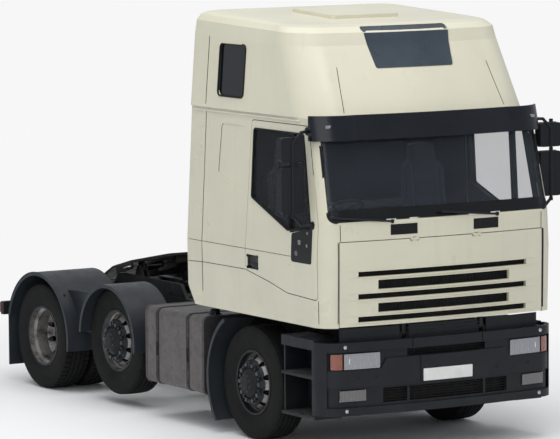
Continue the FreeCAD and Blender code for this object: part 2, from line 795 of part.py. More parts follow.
def mid_beam():
    """Lifting axle: a tube cranked down in the middle to pass under the shaft."""
    half = MID_TUBE_H / 2
    stub_x = MID_TYRE_X - CONVEX_DISH
    low_z = MID_Z - MID_CRANK
    line = [(-stub_x, MID_Z + half), (-MID_CRANK_X_OUT, MID_Z + half), (-MID_CRANK_X_IN, low_z + half),
            (MID_CRANK_X_IN, low_z + half), (MID_CRANK_X_OUT, MID_Z + half), (stub_x, MID_Z + half),
            (stub_x, MID_Z - half), (MID_CRANK_X_OUT, MID_Z - half), (MID_CRANK_X_IN, low_z - half),
            (-MID_CRANK_X_IN, low_z - half), (-MID_CRANK_X_OUT, MID_Z - half), (-stub_x, MID_Z - half)]
    pieces = [front_prism(line, MID_AXLE_Y - half, MID_AXLE_Y + half)]
    end = MID_TYRE_X + CONVEX_FACE + STUB_END - RUN_GAP
    pieces.append(rod(STUB_R, V(-end, MID_AXLE_Y, MID_Z), V(end, MID_AXLE_Y, MID_Z)))
    inner = stub_x - OVERRUN
    hollow = rod(STUB_R + OVERRUN, V(-inner, MID_AXLE_Y, MID_Z), V(inner, MID_AXLE_Y, MID_Z))
    return fused([pieces[0], pieces[1].cut(hollow)])


def drive_beam():
    """Banjo housing with its round middle, square arms and the axle stubs."""
    half = DRIVE_TUBE_W / 2
    arm_x = TWIN_PLANE_X - DRUM_BACK - DRUM_GAP
    pieces = [box(-arm_x, arm_x, DRIVE_AXLE_Y - half, DRIVE_AXLE_Y + half, AXLE_Z - half, AXLE_Z + half)]
    profile = [(-DIFF_W / 2, 0), (-DIFF_W / 2, DIFF_R * DIFF_COVER_SHARE), (-DIFF_W / 4, DIFF_R),
               (DIFF_W / 4, DIFF_R), (DIFF_W / 2, DIFF_R * DIFF_COVER_SHARE), (DIFF_W / 2, 0)]
    pieces.append(spun(profile, DRIVE_AXLE_Y, AXLE_Z))
    end = TWIN_PLANE_X + DISC_T + STUB_END - RUN_GAP
    pieces.append(rod(AXLE_STUB_R, V(-end, DRIVE_AXLE_Y, AXLE_Z), V(end, DRIVE_AXLE_Y, AXLE_Z)))
    nose = V(0, DRIVE_AXLE_Y - DIFF_R - PINION_NOSE, PINION_Z)
    pieces.append(rod(SHAFT_FLANGE_R, nose, V(0, DRIVE_AXLE_Y, PINION_Z)))
    return fused(pieces)


def leaf(half, z, thick):
    """One spring leaf, an upward-curving strip in side view."""
    rise = LEAF_CAMBER * (half / LEAF_HALF) ** 2
    low = Part.Arc(V(0, -half, z + rise), V(0, 0, z), V(0, half, z + rise)).toShape()
    high = Part.Arc(V(0, half, z + rise + thick), V(0, 0, z + thick), V(0, -half, z + rise + thick))
    ends = [Part.LineSegment(V(0, half, z + rise), V(0, half, z + rise + thick)).toShape(),
            Part.LineSegment(V(0, -half, z + rise + thick), V(0, -half, z + rise)).toShape()]
    face = Part.Face(Part.Wire([low, ends[0], high.toShape(), ends[1]]))
    strip = face.extrude(V(LEAF_W, 0, 0))
    strip.translate(V(SPRING_X - LEAF_W / 2, 0, 0))
    return strip


def front_springs():
    """Leaf packs on the beam, their eyes carried by hangers under the rails."""
    pack_z = BEAM_Z + BEAM_H / 2 + SEAT_GAP
    x0 = SPRING_X - LEAF_W / 2
    x1 = SPRING_X + LEAF_W / 2
    pieces = []
    for i in range(LEAVES):
        share = 1 - LEAF_STEP_SHARE * (LEAVES - 1 - i)
        pieces.append(leaf(LEAF_HALF * share, pack_z + LEAF_T * i, LEAF_T))
    eye_z = pack_z + LEAF_T * (LEAVES - 1) + LEAF_T / 2 + LEAF_CAMBER
    for y in (-LEAF_HALF, LEAF_HALF):
        pieces.append(rod(LEAF_T, V(x0, y, eye_z), V(x1, y, eye_z)))
        pieces.append(box(x0, x1, y - HANGER_W / 2, y + HANGER_W / 2, eye_z, RAIL_BOTTOM_Z - SEAT_GAP))
    pad = box(x0, x1, -BEAM_W / 2, BEAM_W / 2, pack_z, pack_z + LEAF_T * (LEAVES + 1))
    pieces.append(pad)
    whole = fused(pieces)
    return [whole, mirrored(whole)]


def air_spring(y, axle_z, arm_top_z):
    """Rolling-lobe bellows between a trailing arm and the rail."""
    x = SPRING_X - RAIL_FLANGE / 2
    top = RAIL_BOTTOM_Z - SEAT_GAP
    height = top - arm_top_z
    waist = AIR_SPRING_R * BELLOWS_WAIST_SHARE
    outline = [(0, 0), (waist, 0), (AIR_SPRING_R, height * BELLOWS_SHARES[0]),
               (AIR_SPRING_R, height * BELLOWS_SHARES[1]), (waist, height), (0, height)]
    face = polygon([V(x + r, y, arm_top_z + z) for r, z in outline])
    return face.revolve(V(x, y, 0), Z_AXIS, 360)


def rear_suspension():
    """Trailing arms hung from the rails, each with its bellows, on both rear axles."""
    shapes = []
    x0 = SPRING_X - TRAIL_ARM_W / 2
    x1 = SPRING_X + TRAIL_ARM_W / 2
    for axle_y, axle_z, half in ((MID_AXLE_Y, MID_Z - MID_CRANK, MID_TUBE_H / 2),
                                 (DRIVE_AXLE_Y, AXLE_Z, DRIVE_TUBE_W / 2)):
        top = axle_z + half + SEAT_GAP
        front = axle_y - TRAIL_REACH
        rear = axle_y + AIR_SPRING_Y_OFFSET
        arm = box(x0, x1, front, rear + AIR_SPRING_R / 2, top, top + TRAIL_ARM_H)
        hanger = box(x0, x1, front, front + HANGER_W, top, RAIL_BOTTOM_Z - SEAT_GAP)
        bag = air_spring(rear, axle_z, top + TRAIL_ARM_H)
        whole = fused([arm, hanger, bag])
        shapes.extend([whole, mirrored(whole)])
    return shapes


def rail(side):
    """Pressed channel with its open side inwards."""
    body = box(RAIL_INNER_X, RAIL_OUTER_X, RAIL_FRONT_Y, RAIL_REAR_Y, RAIL_BOTTOM_Z, RAIL_TOP_Z)
    slot = box(RAIL_INNER_X - OVERRUN, RAIL_OUTER_X - RAIL_T, RAIL_FRONT_Y - OVERRUN,
               RAIL_REAR_Y + OVERRUN, RAIL_BOTTOM_Z + RAIL_T, RAIL_TOP_Z - RAIL_T)
    return on_side(body.cut(slot), side)


def crossmembers():
    """Tubes between the rails and the plate across their tail."""
    web = RAIL_OUTER_X - RAIL_T - SEAT_GAP
    tube_z = RAIL_TOP_Z - RAIL_T - SEAT_GAP - CROSS_R
    shapes = []
    for y in (DECK_FRONT_Y + CROSS_W, MID_AXLE_Y - TRAIL_REACH, MID_AXLE_Y + CROSS_MID_BACK, FIFTH_Y,
              DRIVE_AXLE_Y + AIR_SPRING_Y_OFFSET):
        shapes.append(rod(CROSS_R, V(-web, y, tube_z), V(web, y, tube_z)))
    end = box(-web, web, RAIL_REAR_Y - CROSS_T, RAIL_REAR_Y, RAIL_BOTTOM_Z + RAIL_T + SEAT_GAP,
              RAIL_TOP_Z - RAIL_T - SEAT_GAP)
    shapes.append(end)
    return shapes


def rear_bar():
    """Light bar under the frame's tail, hung on two plates."""
    y0 = REAR_END_Y - REAR_LAMP_T - REAR_BAR_T
    y1 = y0 + REAR_BAR_T
    half = REAR_LAMP_X_OUT
    pieces = [box(-half, half, y0, y1, REAR_BAR_Z - REAR_BAR_H / 2, REAR_BAR_Z + REAR_BAR_H / 2)]
    for side in SIDES:
        x = (RAIL_OUTER_X + SEAT_GAP) * side
        pieces.append(box(x, x + CROSS_T * side, RAIL_REAR_Y - CROSS_W, y1,
                          REAR_BAR_Z - REAR_BAR_H / 2, RAIL_TOP_Z - RAIL_T))
    return [fused(pieces)]


def rear_lamps():
    shapes = []
    y0 = REAR_END_Y - REAR_LAMP_T + SEAT_GAP
    for side in SIDES:
        x1 = REAR_LAMP_X_OUT * side
        x0 = (REAR_LAMP_X_OUT - REAR_LAMP_W) * side
        shapes.append(front_prism([(x0, REAR_BAR_Z - REAR_LAMP_H / 2), (x1, REAR_BAR_Z - REAR_LAMP_H / 2),
                                   (x1, REAR_BAR_Z + REAR_LAMP_H / 2), (x0, REAR_BAR_Z + REAR_LAMP_H / 2)],
                                  y0, REAR_END_Y, LAMP_EDGE_R))
    return shapes


def engine():
    """Plain block for the engine, with the tapered gearbox behind it."""
    block = box(-ENGINE_X, ENGINE_X, ENGINE_FRONT_Y, ENGINE_REAR_Y, ENGINE_BOTTOM_Z, ENGINE_TOP_Z)
    start = V(0, ENGINE_REAR_Y, GEARBOX_Z)
    gearbox = Part.makeCone(GEARBOX_R, SHAFT_FLANGE_R, GEARBOX_L, start, Y_AXIS)
    mounts = []
    for side in SIDES:
        for y in (ENGINE_FRONT_Y + CROSS_W, ENGINE_REAR_Y - CROSS_W):
            mounts.append(box(ENGINE_X * side, (RAIL_OUTER_X - RAIL_T - SEAT_GAP) * side, y - CROSS_R,
                              y + CROSS_R, RAIL_BOTTOM_Z + RAIL_T + SEAT_GAP, RAIL_BOTTOM_Z + CROSS_W))
    return [fused([block, gearbox] + mounts)]


def radiator():
    """Cooling stack ahead of the engine, carried on two feet by the rails' front ends."""
    y1 = RADIATOR_FRONT_Y + RADIATOR_T
    pieces = [box(-RADIATOR_X, RADIATOR_X, RADIATOR_FRONT_Y, y1, RADIATOR_BOTTOM_Z, RADIATOR_TOP_Z)]
    for side in SIDES:
        x0 = (RADIATOR_X - RAIL_FLANGE / 2) * side
        x1 = RAIL_OUTER_X * side
        pieces.append(box(x0, x1, y1 - RADIATOR_T / 2, RAIL_FRONT_Y + RADIATOR_FOOT,
                          RAIL_TOP_Z + SEAT_GAP, RAIL_TOP_Z + CROSS_T + SEAT_GAP))
    return [fused(pieces)]


def prop_shaft():
    """Drive shaft from the gearbox to the axle, with a flange at each end."""
    start = V(0, ENGINE_REAR_Y + GEARBOX_L + SEAT_GAP, GEARBOX_Z)
    end = V(0, DRIVE_AXLE_Y - DIFF_R - PINION_NOSE - SEAT_GAP, PINION_Z)
    level = V(0, SHAFT_FLANGE_T, 0)
    pieces = [rod(SHAFT_FLANGE_R, start, start + level), rod(SHAFT_FLANGE_R, end - level, end)]
    pieces.append(rod(SHAFT_R, start + level / 2, end - level / 2))
    return [fused(pieces)]


def fifth_wheel():
    """Coupling plate with its throat and ramps, tipped back on its two pivot pins."""
    y0 = FIFTH_Y - FIFTH_FRONT_L
    y1 = FIFTH_Y + FIFTH_REAR_L
    top = FIFTH_PIVOT_Z + FIFTH_TOP_RISE
    low = top - FIFTH_PLATE_T
    half = FIFTH_HALF_W
    throat = FIFTH_THROAT_W / 2
    front_half = half * FIFTH_NOSE_SHARE
    outline = [(-half, FIFTH_Y), (-front_half, y0), (front_half, y0), (half, FIFTH_Y), (half, y1),
               (-half, y1)]
    plate = plan_prism(outline, low, top, FIFTH_CORNER_R)
    pieces = [plate]
    for side in SIDES:
        x0 = throat * side
        x1 = half * side
        ramp = side_prism([(y1 - FIFTH_CORNER_R, top), (y1, top),
                           (y1 + FIFTH_RAMP_L, top - FIFTH_RAMP_DROP),
                           (y1 + FIFTH_RAMP_L, top - FIFTH_RAMP_DROP - FIFTH_PLATE_T),
                           (y1, low), (y1 - FIFTH_CORNER_R, low)], x0, x1)
        pieces.append(ramp)
        rib_x = (half - FIFTH_RIB_T) * side
        pieces.append(box(rib_x, half * side, FIFTH_Y, y1 - FIFTH_CORNER_R, low - FIFTH_RIB_H, low))
        inner = (throat + FIFTH_RIB_T) * side
        pieces.append(box(throat * side, inner, FIFTH_Y, y1, low - FIFTH_RIB_H, low))
    pieces.append(box(-throat - FIFTH_RIB_T, throat + FIFTH_RIB_T, y0 + FIFTH_CORNER_R,
                      y0 + FIFTH_CORNER_R + FIFTH_RIB_T, low - FIFTH_RIB_H, low))
    for side in SIDES:
        x0 = (PIVOT_X - PIVOT_LUG_T / 2) * side
        x1 = (PIVOT_X + PIVOT_LUG_T / 2) * side
        pieces.append(rod(PIVOT_LUG_R, V(x0, FIFTH_Y, FIFTH_PIVOT_Z), V(x1, FIFTH_Y, FIFTH_PIVOT_Z)))
        pieces.append(box(x0, x1, FIFTH_Y - PIVOT_LUG_R, FIFTH_Y + PIVOT_LUG_R, FIFTH_PIVOT_Z, low))
    whole = fused(pieces)
    mouth = plan_prism([(-throat, y1 + FIFTH_RAMP_L + OVERRUN), (-KING_BORE_R, FIFTH_Y + JAW_L),
                        (KING_BORE_R, FIFTH_Y + JAW_L), (throat, y1 + FIFTH_RAMP_L + OVERRUN)],
                       low - FIFTH_RIB_H - OVERRUN, top + OVERRUN)
    bore = rod(KING_BORE_R, V(0, FIFTH_Y, low - FIFTH_RIB_H), V(0, FIFTH_Y, top + OVERRUN))
    pins = rod(PIVOT_PIN_R + PIVOT_CLEAR, V(-half, FIFTH_Y, FIFTH_PIVOT_Z),
               V(half, FIFTH_Y, FIFTH_PIVOT_Z))
    whole = whole.cut([mouth, bore, pins])
    return turned(whole, V(0, FIFTH_Y, FIFTH_PIVOT_Z), X_AXIS, -FIFTH_REST_DEG)


def fifth_mount():
    """Base plate and low sub-frame on the rails, with two cheeks and a pin at each side."""
    z0 = RAIL_TOP_Z + SEAT_GAP
    z1 = z0 + FIFTH_BASE_T
    half_l = BRACKET_FOOT_L
    pieces = [box(-RAIL_OUTER_X, RAIL_OUTER_X, FIFTH_Y - half_l, FIFTH_Y + half_l, z0, z1)]
    out = PIVOT_LUG_T / 2 + BRACKET_GAP
    foot = half_l * CHEEK_FOOT_SHARE
    crown = FIFTH_PIVOT_Z + PIVOT_PIN_R * 2 - BRACKET_GAP * 2
    for side in SIDES:
        for near, far in ((PIVOT_X - out, PIVOT_X - out - BRACKET_T),
                          (PIVOT_X + out, PIVOT_X + out + BRACKET_T)):
            cheek = side_prism([(FIFTH_Y - foot, z1), (FIFTH_Y - PIVOT_LUG_R, FIFTH_PIVOT_Z),
                                (FIFTH_Y - PIVOT_LUG_R / 2, crown), (FIFTH_Y + PIVOT_LUG_R / 2, crown),
                                (FIFTH_Y + PIVOT_LUG_R, FIFTH_PIVOT_Z), (FIFTH_Y + foot, z1)],
                               near * side, far * side)
            pieces.append(cheek)
        start = V((PIVOT_X - out - BRACKET_T) * side, FIFTH_Y, FIFTH_PIVOT_Z)
        end = V((PIVOT_X + out + BRACKET_T) * side, FIFTH_Y, FIFTH_PIVOT_Z)
        pieces.append(rod(PIVOT_PIN_R, start, end))
        pieces.append(side_prism([(SUBFRAME_FRONT_Y, z0), (SUBFRAME_REAR_Y, z0),
                                  (SUBFRAME_REAR_Y - SUBFRAME_SLOPE, SUBFRAME_TOP_Z),
                                  (SUBFRAME_FRONT_Y + SUBFRAME_SLOPE, SUBFRAME_TOP_Z)],
                                 SUBFRAME_INNER_X * side, SUBFRAME_OUTER_X * side))
    return fused(pieces)


def fuel_tank():
    """Three-section aluminium tank, its long edges rounded."""
    corners = [(TANK_INNER_X, TANK_BOTTOM_Z), (TANK_OUTER_X, TANK_BOTTOM_Z),
               (TANK_OUTER_X, TANK_TOP_Z), (TANK_INNER_X, TANK_TOP_Z)]
    body = front_prism(corners, TANK_FRONT_Y, TANK_REAR_Y, TANK_EDGE_R)
    return [mirrored(body)]


def tank_brackets():
    """Two brackets on the rail, each a cradle arm with a strap round the tank."""
    shapes = []
    gap = SEAT_GAP
    for share in STRAP_Y_SHARES:
        y = TANK_FRONT_Y + (TANK_REAR_Y - TANK_FRONT_Y) * share
        y0 = y - STRAP_W / 2
        y1 = y + STRAP_W / 2
        inner = [(TANK_INNER_X - gap, TANK_BOTTOM_Z - gap), (TANK_OUTER_X + gap, TANK_BOTTOM_Z - gap),
                 (TANK_OUTER_X + gap, TANK_TOP_Z + gap), (TANK_INNER_X - gap, TANK_TOP_Z + gap)]
        out = gap + STRAP_T
        outer = [(TANK_INNER_X - out, TANK_BOTTOM_Z - out), (TANK_OUTER_X + out, TANK_BOTTOM_Z - out),
                 (TANK_OUTER_X + out, TANK_TOP_Z + out), (TANK_INNER_X - out, TANK_TOP_Z + out)]
        band = front_prism(outer, y0, y1, TANK_EDGE_R + out)
        hole = front_prism(inner, y0 - OVERRUN, y1 + OVERRUN, TANK_EDGE_R + gap)
        post = box(RAIL_OUTER_X + gap, TANK_INNER_X - gap, y0, y1, RAIL_BOTTOM_Z - CROSS_W, RAIL_TOP_Z)
        whole = fused([band.cut(hole), post])
        shapes.append(mirrored(whole))
    return shapes


def side_boxes():
    """Battery box and round silencer on the vehicle's left, bracketed to the rail."""
    corners = [(TANK_INNER_X, BOX_BOTTOM_Z), (BOX_OUTER_X, BOX_BOTTOM_Z),
               (BOX_OUTER_X, BOX_TOP_Z), (TANK_INNER_X, BOX_TOP_Z)]
    case = front_prism(corners, BOX_FRONT_Y, BOX_REAR_Y, BOX_EDGE_R)
    link_z = (RAIL_TOP_Z + RAIL_BOTTOM_Z) / 2
    link = box(RAIL_OUTER_X + SEAT_GAP, TANK_INNER_X, BOX_FRONT_Y + CROSS_W, BOX_REAR_Y - CROSS_W,
               link_z - ARM_T, link_z + ARM_T)
    drum = rod(SILENCER_R, V(SILENCER_X, SILENCER_FRONT_Y, SILENCER_Z),
               V(SILENCER_X, SILENCER_REAR_Y, SILENCER_Z))
    arm = box(RAIL_OUTER_X + SEAT_GAP, SILENCER_X, SILENCER_FRONT_Y + CROSS_W,
              SILENCER_REAR_Y - CROSS_W, link_z - ARM_T, link_z + ARM_T)
    return [fused([case, link]), fused([drum, arm])]


def guard_arc(x_in, y, z, radius, low_deg, high_deg):
    """Curved guard with a lip along its outer edge, between two angles from the rear."""
    def at(r, degrees):
        a = math.radians(degrees)
        return V(x_in, y + r * math.cos(a), z + r * math.sin(a))
    mid_deg = (low_deg + high_deg) / 2

    def band(r0, r1, x0, x1):
        edges = [Part.Arc(at(r1, low_deg), at(r1, mid_deg), at(r1, high_deg)).toShape(),
                 Part.LineSegment(at(r1, high_deg), at(r0, high_deg)).toShape(),
                 Part.Arc(at(r0, high_deg), at(r0, mid_deg), at(r0, low_deg)).toShape(),
                 Part.LineSegment(at(r0, low_deg), at(r1, low_deg)).toShape()]
        shape = Part.Face(Part.Wire(edges)).extrude(V(x1 - x0, 0, 0))
        shape.translate(V(x0 - x_in, 0, 0))
        return shape
    skin = band(radius, radius + GUARD_T, x_in, GUARD_X_OUT)
    lip = band(radius - GUARD_LIP + GUARD_T, radius + GUARD_T, GUARD_X_OUT - GUARD_T, GUARD_X_OUT)
    return [skin, lip]


def drive_guard():
    return guard_arc(DRIVE_GUARD_X_IN, DRIVE_AXLE_Y, AXLE_Z, GUARD_R, GUARD_REAR_DEG, GUARD_FRONT_DEG)


def mid_guard():
    return guard_arc(MID_GUARD_X_IN, MID_AXLE_Y, MID_Z, MID_GUARD_R, MID_GUARD_REAR_DEG, MID_GUARD_FRONT_DEG)


def stay(y, z, x_in):
    return rod(STAY_R, V(RAIL_OUTER_X + SEAT_GAP, y, z), V(x_in + STAY_R * 2, y, z))


def rear_guards():
    """Guards over the two rear axles, joined by a web, with stays and a flap behind."""
    pieces = drive_guard() + mid_guard()
    a = math.radians(STAY_DEG)
    for x, y, z, r in ((DRIVE_GUARD_X_IN, DRIVE_AXLE_Y, AXLE_Z, GUARD_R),
                       (MID_GUARD_X_IN, MID_AXLE_Y, MID_Z, MID_GUARD_R)):
        middle = r + GUARD_T / 2
        stay_z = min(z + middle * math.sin(a), RAIL_TOP_Z - STAY_R)
        reach = math.sqrt(middle ** 2 - (stay_z - z) ** 2)
        pieces.append(stay(y + reach, stay_z, x))
        pieces.append(stay(y - reach, stay_z, x))
    mid_r = MID_GUARD_R + GUARD_T
    drive_r = GUARD_R + GUARD_T
    top = math.radians(WEB_TOP_DEG)
    outline = [(MID_AXLE_Y + mid_r * math.cos(top), MID_Z + mid_r * math.sin(top)),
               (DRIVE_AXLE_Y - drive_r * math.cos(top), AXLE_Z + drive_r * math.sin(top)),
               (DRIVE_AXLE_Y - drive_r, WEB_BOTTOM_Z), (MID_AXLE_Y + mid_r, WEB_BOTTOM_Z)]
    web = side_prism(outline, WEB_X, WEB_X + GUARD_T)
    holes = [rod(MID_GUARD_R, V(0, MID_AXLE_Y, MID_Z), V(GUARD_X_OUT, MID_AXLE_Y, MID_Z)),
             rod(GUARD_R, V(0, DRIVE_AXLE_Y, AXLE_Z), V(GUARD_X_OUT, DRIVE_AXLE_Y, AXLE_Z))]
    pieces.append(web.cut(holes))
    low = math.radians(GUARD_REAR_DEG)
    flap_y = DRIVE_AXLE_Y + GUARD_R * math.cos(low)
    flap_z = AXLE_Z + GUARD_R * math.sin(low)
    pieces.append(box(DRIVE_GUARD_X_IN, GUARD_X_OUT, flap_y, flap_y + FLAP_T, FLAP_BOTTOM_Z,
                      flap_z + GUARD_T))
    whole = fused(pieces)
    return [whole, mirrored(whole)]


def front_guards():
    """Guards behind the steered wheels, clear of the tyre's swing at full lock."""
    pieces = guard_arc(FRONT_GUARD_X_IN, 0, AXLE_Z, FRONT_GUARD_R, FRONT_GUARD_LOW_DEG, FRONT_GUARD_TOP_DEG)
    a = math.radians(FRONT_STAY_DEG)
    middle = FRONT_GUARD_R + GUARD_T / 2
    pieces.append(stay(middle * math.cos(a), AXLE_Z + middle * math.sin(a), FRONT_GUARD_X_IN))
    whole = fused(pieces)
    return [whole, mirrored(whole)]


def deck():
    """Chequered walkway behind the cab, on the rails."""
    z0 = RAIL_TOP_Z + SEAT_GAP
    return [box(-DECK_X, DECK_X, DECK_FRONT_Y, DECK_REAR_Y, z0, z0 + DECK_T)]


def bumper_plan(inset, z0, z1, rear=0):
    """Solid of the bumper's plan outline, drawn in by inset and run back past its ends."""
    half = BUMPER_HALF - inset
    flat = BUMPER_FLAT_X - inset * INSET_FLAT_SHARE
    front = -FRONT_OVERHANG + inset
    shoulder = front + BUMPER_SAG
    side_y = BUMPER_SIDE_Y
    end = side_y + rear
    across = half - flat
    along = side_y - shoulder
    edges = [Part.Arc(V(-flat, shoulder, z0), V(0, front, z0), V(flat, shoulder, z0)).toShape()]
    knee = V(flat + across * CORNER_SHARE, side_y - along * CORNER_SHARE, z0)
    edges.append(Part.Arc(V(flat, shoulder, z0), knee, V(half, side_y, z0)).toShape())
    path = [V(half, side_y, z0)]
    if rear:
        path.append(V(half, end, z0))
        path.append(V(-half, end, z0))
    path.append(V(-half, side_y, z0))
    for start, stop in zip(path, path[1:]):
        edges.append(Part.LineSegment(start, stop).toShape())
    other = V(-knee.x, knee.y, z0)
    edges.append(Part.Arc(V(-half, side_y, z0), other, V(-flat, shoulder, z0)).toShape())
    return Part.Face(Part.Wire(edges)).extrude(V(0, 0, z1 - z0))


def bumper_band(out, back, z0, z1):
    inner = bumper_plan(back, z0 - OVERRUN, z1 + OVERRUN, OVERRUN)
    return bumper_plan(out, z0, z1).cut(inner)


def front_box(x0, x1, z0, z1, depth=BUMPER_CUT):
    """A block through the bumper's face, as tall and wide as given."""
    return box(x0, x1, -FRONT_OVERHANG - OVERRUN, -FRONT_OVERHANG + depth, z0, z1)


def bumper():
    """Hollow-backed moulding: face, top ledge, recessed lamp panel, intakes and valance."""
    face = bumper_band(0, BUMPER_T, BUMPER_BOTTOM_Z, BUMPER_TOP_Z)
    recess_zone = front_box(-RECESS_HALF, RECESS_HALF, RECESS_BOTTOM_Z, RECESS_TOP_Z)
    skin = bumper_band(-OVERRUN, RECESS_DEEP, RECESS_BOTTOM_Z - OVERRUN, RECESS_TOP_Z + OVERRUN)
    step = bumper_band(-OVERRUN, BEAM_STEP, RECESS_BOTTOM_Z - OVERRUN, RECESS_TOP_Z + OVERRUN)
    plate_block = front_box(-PLATE_BLOCK_HALF, PLATE_BLOCK_HALF, BEAM_BOTTOM_Z, SHOULDER_TOP_Z)
    cuts = [skin.common(recess_zone).cut(beam_block()), step.common(beam_block()).cut(plate_block)]
    groove = bumper_band(-OVERRUN, LEDGE_GROOVE_DEEP, RECESS_TOP_Z, BUMPER_TOP_Z + OVERRUN)
    for low, high in INTAKE_XS_SHARES:
        cuts.append(front_box(low * BUMPER_HALF, high * BUMPER_HALF, INTAKE_BOTTOM_Z, INTAKE_TOP_Z))
    cuts.append(front_box(-UPPER_INTAKE_HALF, UPPER_INTAKE_HALF, UPPER_INTAKE_BOTTOM_Z, UPPER_INTAKE_TOP_Z))
    for side in SIDES:
        cuts.append(front_box((HEADLAMP_X_IN - LAMP_GAP) * side, (INDICATOR_X_OUT + LAMP_GAP) * side,
                              HEADLAMP_BOTTOM_Z - LAMP_GAP, HEADLAMP_TOP_Z + LAMP_GAP))
        cuts.append(front_box((FOG_X_IN - LAMP_GAP) * side, (FOG_X_OUT + LAMP_GAP) * side,
                              FOG_BOTTOM_Z - LAMP_GAP, FOG_TOP_Z + LAMP_GAP))
        cuts.append(front_box((LEDGE_SPLIT_X - LEDGE_GROOVE_W / 2) * side,
                              (LEDGE_SPLIT_X + LEDGE_GROOVE_W / 2) * side, RECESS_TOP_Z,
                              BUMPER_TOP_Z + OVERRUN, BUMPER_T / 2).common(groove))
    face = face.cut(cuts)
    shelf = bumper_band(BUMPER_T / 2, VALANCE_BACK + VALANCE_T, BUMPER_TOP_Z - CROSS_T, BUMPER_TOP_Z)
    shelf = shelf.common(front_box(-GRILLE_HALF, GRILLE_HALF, BUMPER_BOTTOM_Z, VALANCE_TOP_Z))
    valance = bumper_band(VALANCE_BACK, VALANCE_BACK + VALANCE_T, BUMPER_TOP_Z - CROSS_T, VALANCE_TOP_Z)
    valance = valance.common(front_box(-VALANCE_HALF, VALANCE_HALF, BUMPER_BOTTOM_Z, VALANCE_TOP_Z))
    slots = []
    notches = []
    for side in SIDES:
        half = TILT_LUG_T / 2 + CHEEK_GAP + CHEEK_T + RUN_GAP
        x0 = (TILT_X - half) * side
        x1 = (TILT_X + half) * side
        slots.append(box(x0, x1, -FRONT_OVERHANG, TILT_Y, BUMPER_TOP_Z, VALANCE_TOP_Z + OVERRUN))
        notches.append(box(x0, x1, TILT_Y - TILT_LUG_R - RUN_GAP, TILT_Y, BUMPER_TOP_Z - CROSS_T * 2,
                           BUMPER_TOP_Z + CROSS_T))
    backs = []
    for side in SIDES:
        backs.append(lamp_shell(HEADLAMP_X_IN, INDICATOR_X_OUT, HEADLAMP_BOTTOM_Z, HEADLAMP_TOP_Z, side))
        backs.append(lamp_shell(FOG_X_IN, FOG_X_OUT, FOG_BOTTOM_Z, FOG_TOP_Z, side))
    return [fused([face, shelf.cut(notches), valance.cut(slots + notches)] + backs)]


def beam_block():
    """Beam across the recess with a raised shoulder between the headlamps."""
    half = RECESS_HALF
    return front_prism([(-half, BEAM_BOTTOM_Z), (half, BEAM_BOTTOM_Z), (half, BEAM_TOP_Z),
                        (SHOULDER_FOOT_X, BEAM_TOP_Z), (SHOULDER_HEAD_X, SHOULDER_TOP_Z),
                        (-SHOULDER_HEAD_X, SHOULDER_TOP_Z), (-SHOULDER_FOOT_X, BEAM_TOP_Z),
                        (-half, BEAM_TOP_Z)], -FRONT_OVERHANG - OVERRUN, BUMPER_CUT - FRONT_OVERHANG)


def lamp_shell(x_in, x_out, z0, z1, side):
    """Closed pocket behind a lamp, following the bumper's plan."""
    t = LAMP_GAP + CROSS_T / 2
    zone = front_box((x_in - t) * side, (x_out + t) * side, z0 - t, z1 + t, BUMPER_CUT * 2)
    back = LAMP_DEPTH + RECESS_DEEP
    outer = bumper_band(RECESS_DEEP + LAMP_GAP, back + t, z0 - t, z1 + t).common(zone)
    cavity = front_box((x_in - LAMP_GAP) * side, (x_out + LAMP_GAP) * side, z0 - LAMP_GAP, z1 + LAMP_GAP,
                       BUMPER_CUT * 2)
    hollow = bumper_band(0, back, z0 - LAMP_GAP, z1 + LAMP_GAP).common(cavity)
    return outer.cut(hollow)


def lamp(x_in, x_out, z0, z1, side):
    """Lamp body whose lens follows the bumper's plan and whose back seats in its pocket."""
    zone = front_box(x_in * side, x_out * side, z0, z1, BUMPER_CUT * 2)
    back = LAMP_DEPTH + RECESS_DEEP - SEAT_GAP
    return bumper_band(RECESS_DEEP - LENS_PROUD, back, z0, z1).common(zone)


def front_lamps():
    shapes = []
    for side in SIDES:
        shapes.append(lamp(HEADLAMP_X_IN, HEADLAMP_X_OUT, HEADLAMP_BOTTOM_Z, HEADLAMP_TOP_Z, side))
        shapes.append(lamp(INDICATOR_X_IN, INDICATOR_X_OUT, HEADLAMP_BOTTOM_Z, HEADLAMP_TOP_Z, side))
        shapes.append(lamp(FOG_X_IN, FOG_X_OUT, FOG_BOTTOM_Z, FOG_TOP_Z, side))
    return shapes


def steps():
    """Two-tread step well behind each end of the bumper, bracketed to the rail."""
    y0 = BUMPER_SIDE_Y + SEAT_GAP
    y1 = STEP_REAR_Y
    x0 = STEP_INNER_X
    x1 = STEP_OUTER_X
    t = STEP_WALL
    pieces = [box(x0, x0 + t, y0, y1, STEP_BOTTOM_Z, STEP_TOP_Z)]
    pieces.append(box(x0, x1, y0, y0 + t, STEP_BOTTOM_Z, STEP_TOP_Z))
    pieces.append(box(x0, x1 - STEP_REAR_IN, y1 - t, y1, STEP_BOTTOM_Z, STEP_TOP_Z))
    pieces.append(box(x0, x1, y0, y1, STEP_BOTTOM_Z, STEP_BOTTOM_Z + TREAD_T))
    pieces.append(box(x0, x1, y0, y1, TREAD_Z, TREAD_Z + TREAD_T))
    pieces.append(box(x0, x1, y0, y1, STEP_TOP_Z - STEP_HEAD_H, STEP_TOP_Z))
    arm_y = (y0 + y1) / 2
    pieces.append(box(RAIL_OUTER_X + SEAT_GAP, x0, arm_y - CROSS_R, arm_y + CROSS_R,
                      RAIL_TOP_Z - CROSS_W, RAIL_TOP_Z - RAIL_T))
    whole = fused(pieces)
    return [whole, mirrored(whole)]


